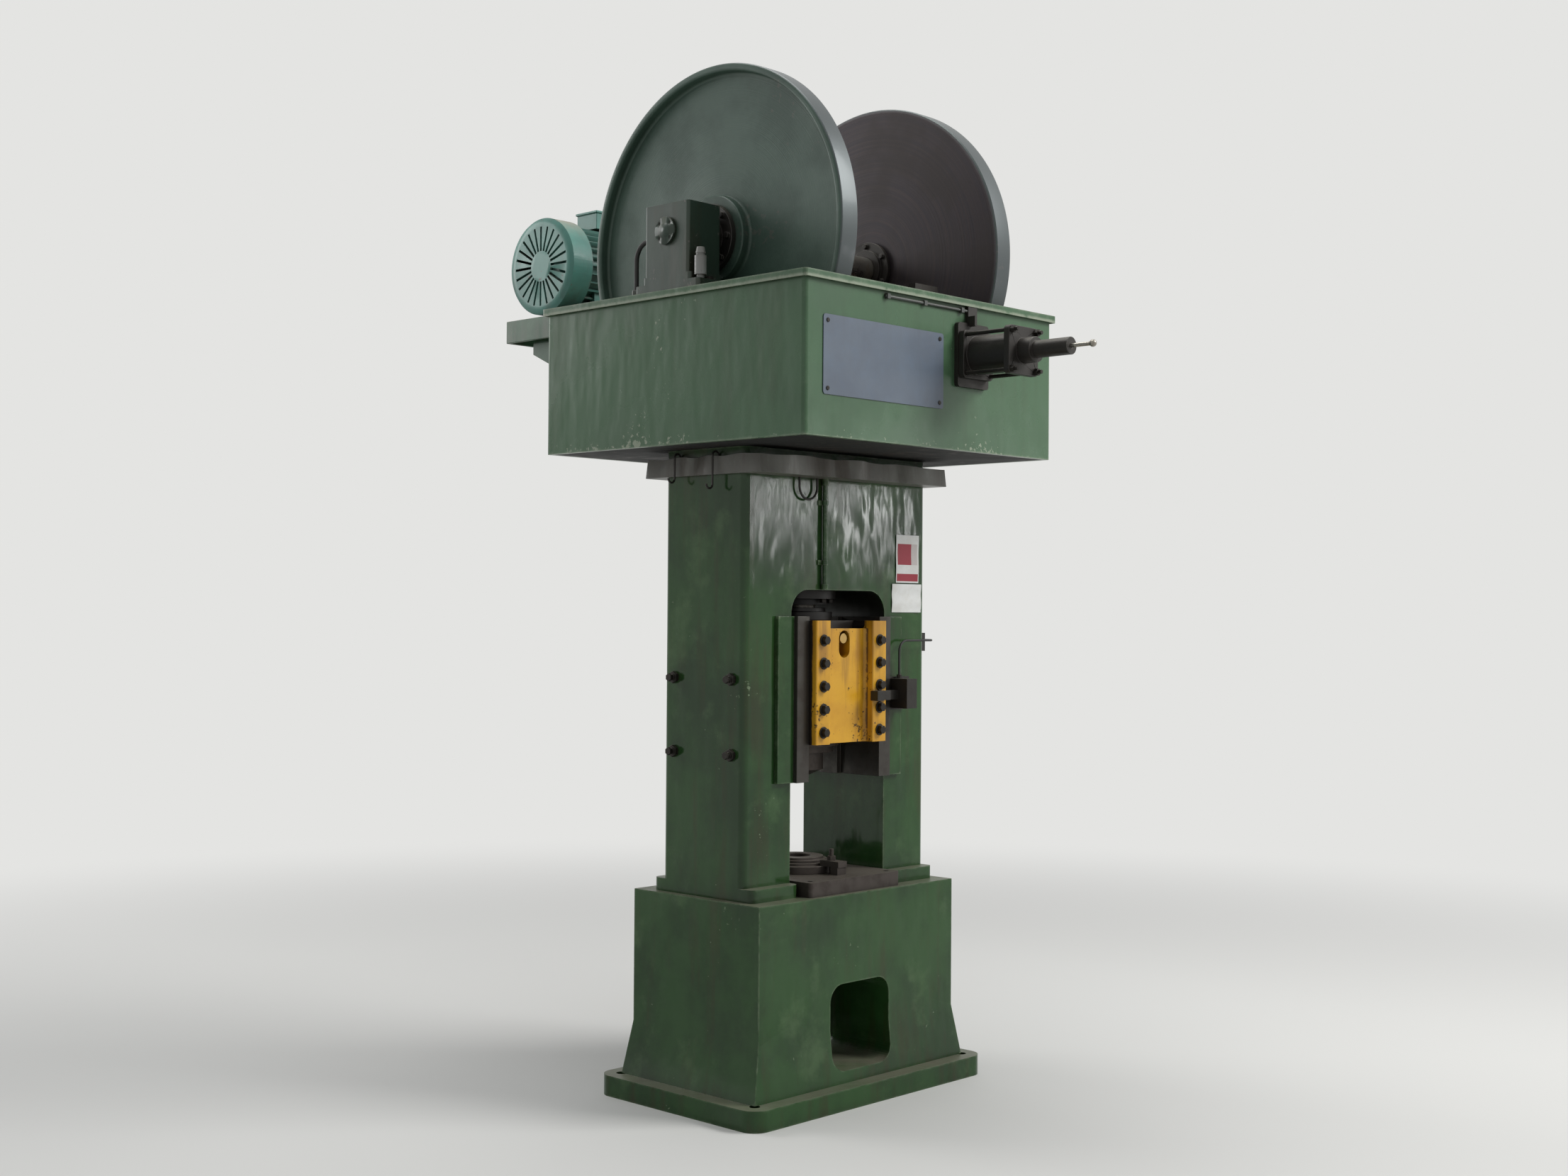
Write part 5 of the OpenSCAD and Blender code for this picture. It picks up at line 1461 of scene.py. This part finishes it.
@dataclass
class Attachments(Assembly):
    """Small things on the right column: switch block with its cable, and two cards."""

    face_y: float = -0.1925
    cable_x: Pair = (0.276, 0.48)
    cable_y: Pair = (-0.2325, -0.17)
    cable_z: Pair = (1.422, 1.556)
    cable_bend: float = 0.04
    cable_d: float = 0.008
    gland: Pair = (0.016, 0.014)
    card_steps: int = 33
    card_t: float = 0.0009
    card_gap: float = 0.0012

    def cable(self) -> None:
        """Make the switch's cable: up, a bend to the right, along and round the corner."""
        (x0, x1), (y0, y1), (z0, z1) = self.cable_x, self.cable_y, self.cable_z
        bend = self.cable_bend
        arc = np.linspace(0, math.pi / 2, 12)
        swing, fall = bend * np.sin(arc), bend * np.cos(arc)
        rise = track(x0, y0, np.linspace(z0, z1 - bend - 0.004, 7))
        over = track(x0 + bend - fall, y0, z1 - bend + swing)
        along = track(np.linspace(x0 + bend + 0.006, x1 - bend - 0.006, 9), y0, z1)
        round_corner = track(x1 - bend + swing, y0 + bend - fall, z1)
        back = track(x1, np.linspace(y0 + bend + 0.004, y1, 4), z1)
        path = np.concatenate([rise, over, along, round_corner, back])
        skin = Shell.tube(path, self.cable_d / 2, 16)
        cable = self.put("sensor_cable_look", skin, RUBBER, "black_rubber", ("sensor_cable",))
        gland = Shell.hexagon(*self.gland).moved(x0, y0, z0)
        nut = self.put("sensor_cable_gland", gland, BLACK_BOLTS, "black_bolts")

    def card(self, name: str, x: Pair, z: Pair, curl: float) -> bpy.types.Object:
        """Make a thin card that stands off the face by a slow curl.

        The stand-off grows with the square of the distance from the left edge and ripples a little
        along width and height. Front and back are one closed skin.
        """
        n = self.card_steps
        u, v = np.meshgrid(np.linspace(0, 1, n), np.linspace(0, 1, n))
        lift = curl * (u**2 * 0.6 + 0.25 * np.sin(v * 5.0) ** 2 + 0.15 * np.sin(u * 7.0))
        px = x[0] + (x[1] - x[0]) * u
        pz = z[0] + (z[1] - z[0]) * v
        depth = self.face_y - self.card_gap - self.card_t - np.maximum(lift, 0)
        front = np.stack([px, depth, pz], axis=-1)
        back = front + np.array([0, self.card_t, 0])
        skin = np.concatenate([front, back[:, ::-1]], axis=1)
        shell = Shell.grid(skin, False, True)
        row = 2 * n
        ends = [list(range(row))[::-1], [(n - 1) * row + i for i in range(row)]]
        shell.faces += [
            [e[i], e[i + 1], e[row - 2 - i], e[row - 1 - i]] for e in ends for i in range(n - 1)
        ]
        return self.put(name, shell, CARD_WHITE, "lubricator_grey")

    def paint_fields(self, card: bpy.types.Object, fields: list[tuple[Finish, Pair, Pair]]) -> None:
        """Give rectangles of a card their own plain colours.

        Args:
            card: The card's object.
            fields: For each rectangle its finish, and its limits in share of width and of height.
        """
        mesh = card.data
        centres = np.array([polygon.center[:] for polygon in mesh.polygons])
        low = centres.min(axis=0)
        share = (centres - low) / (centres.max(axis=0) - low)
        kinds = np.zeros(len(centres), dtype=int)
        for number, (finish, wide, high) in enumerate(fields, start=1):
            mesh.materials.append(finish.material())
            across = (share[:, 0] > wide[0]) & (share[:, 0] < wide[1])
            along = (share[:, 2] > high[0]) & (share[:, 2] < high[1])
            kinds[across & along] = number
        mesh.polygons.foreach_set("material_index", kinds)

    def build(self) -> None:
        """Dress the switch block and make its cable and the cards."""
        self.copy_cad("sensor_bracket", TOOL_EDGE)
        self.cable()
        upper = self.card("notice_card", (0.3, 0.42), (1.762, 1.933), 0.006)
        fields = [
            (CARD_RED, (0.05, 0.7), (0.37, 0.81)),
            (CARD_PALE, (0.7, 0.95), (0.37, 0.81)),
            (CARD_RED, (0.03, 0.97), (0.03, 0.2)),
        ]
        self.paint_fields(upper, fields)
        self.card("notice_sheet", (0.278, 0.432), (1.656, 1.757), 0.008)


# Floor, light and camera


@dataclass(frozen=True)
class Lamp:
    """A soft rectangular lamp: where it stands, its size, its power in watts and its aim."""

    name: str
    at: Point
    size: Pair
    power: float
    aim: Point

    def light(self) -> None:
        """Add the lamp to the scene."""
        data = bpy.data.lights.new(self.name, "AREA")
        data.shape = "RECTANGLE"
        data.size, data.size_y = self.size
        data.energy = self.power
        thing = bpy.data.objects.new(self.name, data)
        bpy.context.scene.collection.objects.link(thing)
        thing.location = self.at
        toward = Vector(self.aim) - Vector(self.at)
        thing.rotation_euler = toward.to_track_quat("-Z", "Y").to_euler()


@dataclass
class Studio:
    """A plain pale floor, soft light and the camera at the photograph's viewing angle."""

    camera_at: Point = (-4.929, -4.624, 1.65)
    target: Point = (0.03, 0.1, 1.74)
    sensor: float = 36.0
    lens: float = 44.0
    roll: float = math.radians(0.4)
    backdrop: Color = srgb(228, 228, 226)
    air: Color = (0.82, 0.86, 0.92, 1.0)
    air_strength: float = 0.3
    floor_color: Color = srgb(214, 213, 209)
    floor_roughness: float = 0.8
    floor_half: float = 30.0
    floor_fade: Pair = (2.6, 7.5)
    lamps: tuple[Lamp, ...] = (
        Lamp("key", (3.4, -4.8, 6.4), (3.0, 3.0), 420.0, (0, 0, 1.4)),
        Lamp("left", (-7.0, -2.0, 4.6), (3.0, 3.0), 8.0, (0, 0, 1.4)),
        Lamp("top", (0.0, 0.6, 7.0), (3.4, 3.4), 150.0, (0, 0, 2.0)),
        Lamp("rim", (-2.5, 5.5, 4.5), (3.0, 3.0), 120.0, (0, 0.4, 2.2)),
        Lamp("window 0", (3.75, -5.2, 2.45), (0.13, 0.5), 3.8, (0, 0, 2.0)),
        Lamp("window 1", (4.5, -5.2, 2.3), (0.13, 0.5), 5.0, (0, 0, 2.0)),
        Lamp("window 2", (5.2, -5.2, 2.6), (0.13, 0.5), 4.2, (0, 0, 2.0)),
        Lamp("window 3", (6.0, -5.2, 2.35), (0.13, 0.5), 5.6, (0, 0, 2.0)),
    )

    def camera(self) -> None:
        """Place the camera where the photograph was taken and aim it at the press."""
        data = bpy.data.cameras.new("photo camera")
        data.sensor_width = self.sensor
        data.lens = self.lens
        data.clip_end = 200.0
        thing = bpy.data.objects.new("photo camera", data)
        bpy.context.scene.collection.objects.link(thing)
        thing.location = self.camera_at
        toward = Vector(self.target) - Vector(self.camera_at)
        turn = toward.to_track_quat("-Z", "Y").to_euler()
        thing.rotation_euler = turn
        thing.rotation_euler.rotate_axis("Z", self.roll)
        bpy.context.scene.camera = thing

    @staticmethod
    def seen(graph: Graph) -> bpy.types.NodeSocket:
        """Return 1 for the rays that show the backdrop: straight, mirrored or through glass."""
        rays = graph.add("ShaderNodeLightPath").outputs
        mirrored = graph.math("MAXIMUM", rays["Is Glossy Ray"], rays["Is Transmission Ray"])
        return graph.math("MAXIMUM", rays["Is Camera Ray"], mirrored)

    def floor(self) -> None:
        """Lay the pale floor, which shows white to the camera where it isn't shaded."""
        corners = np.array([[-1, -1, 0], [1, -1, 0], [1, 1, 0], [-1, 1, 0]]) * self.floor_half
        mesh = bpy.data.meshes.new("floor")
        mesh.from_pydata(corners.tolist(), [], [[0, 1, 2, 3]])
        thing = bpy.data.objects.new("floor", mesh)
        bpy.context.scene.collection.objects.link(thing)
        material = bpy.data.materials.new("floor")
        material.use_nodes = True
        shader = next(n for n in material.node_tree.nodes if n.type == "BSDF_PRINCIPLED")
        shader.inputs["Base Color"].default_value = self.floor_color
        shader.inputs["Roughness"].default_value = self.floor_roughness
        graph = Graph(material.node_tree)
        leave = next(n for n in material.node_tree.nodes if n.type == "OUTPUT_MATERIAL")
        pale = graph.add("ShaderNodeEmission")
        pale.inputs["Color"].default_value = self.backdrop
        length = graph.add("ShaderNodeVectorMath", operation="LENGTH")
        graph.feed(graph.place(), length.inputs[0])
        far = graph.remap(length.outputs["Value"], *self.floor_fade)
        mix = graph.add("ShaderNodeMixShader")
        graph.feed(graph.math("MULTIPLY", far, self.seen(graph)), mix.inputs[0])
        graph.feed(shader.outputs[0], mix.inputs[1])
        graph.feed(pale.outputs[0], mix.inputs[2])
        graph.feed(mix.outputs[0], leave.inputs["Surface"])
        mesh.materials.append(material)

    def world(self) -> None:
        """Light the air softly and show a pale backdrop to camera and mirror rays."""
        world = bpy.data.worlds.new("studio")
        bpy.context.scene.world = world
        world.use_nodes = True
        graph = Graph(world.node_tree)
        graph.tree.nodes.clear()
        leave = graph.add("ShaderNodeOutputWorld")
        soft = graph.add("ShaderNodeBackground")
        soft.inputs["Color"].default_value = self.air
        soft.inputs["Strength"].default_value = self.air_strength
        shown = graph.add("ShaderNodeBackground")
        shown.inputs["Color"].default_value = self.backdrop
        shown.inputs["Strength"].default_value = 1.0
        mix = graph.add("ShaderNodeMixShader")
        graph.feed(self.seen(graph), mix.inputs[0])
        graph.feed(soft.outputs[0], mix.inputs[1])
        graph.feed(shown.outputs[0], mix.inputs[2])
        graph.feed(mix.outputs[0], leave.inputs["Surface"])

    def build(self) -> None:
        """Set up the whole studio."""
        bpy.context.scene.view_settings.view_transform = "Standard"
        self.camera()
        self.world()
        self.floor()
        for lamp in self.lamps:
            lamp.light()


def main() -> None:
    """Build the studio and every sub-assembly."""
    logging.basicConfig(level=logging.INFO, format="%(message)s")
    Studio().build()
    for assembly in (
        FrameCasting(),
        DieStack(),
        RamAssembly(),
        ScrewTrain(),
        CrownBox(),
        BrakeUnit(),
        DiscDrive(),
        MotorUnit(),
        Attachments(),
    ):
        assembly.build()
        log.info("%s done", type(assembly).__name__)


if __name__ == "__main__":
    main()
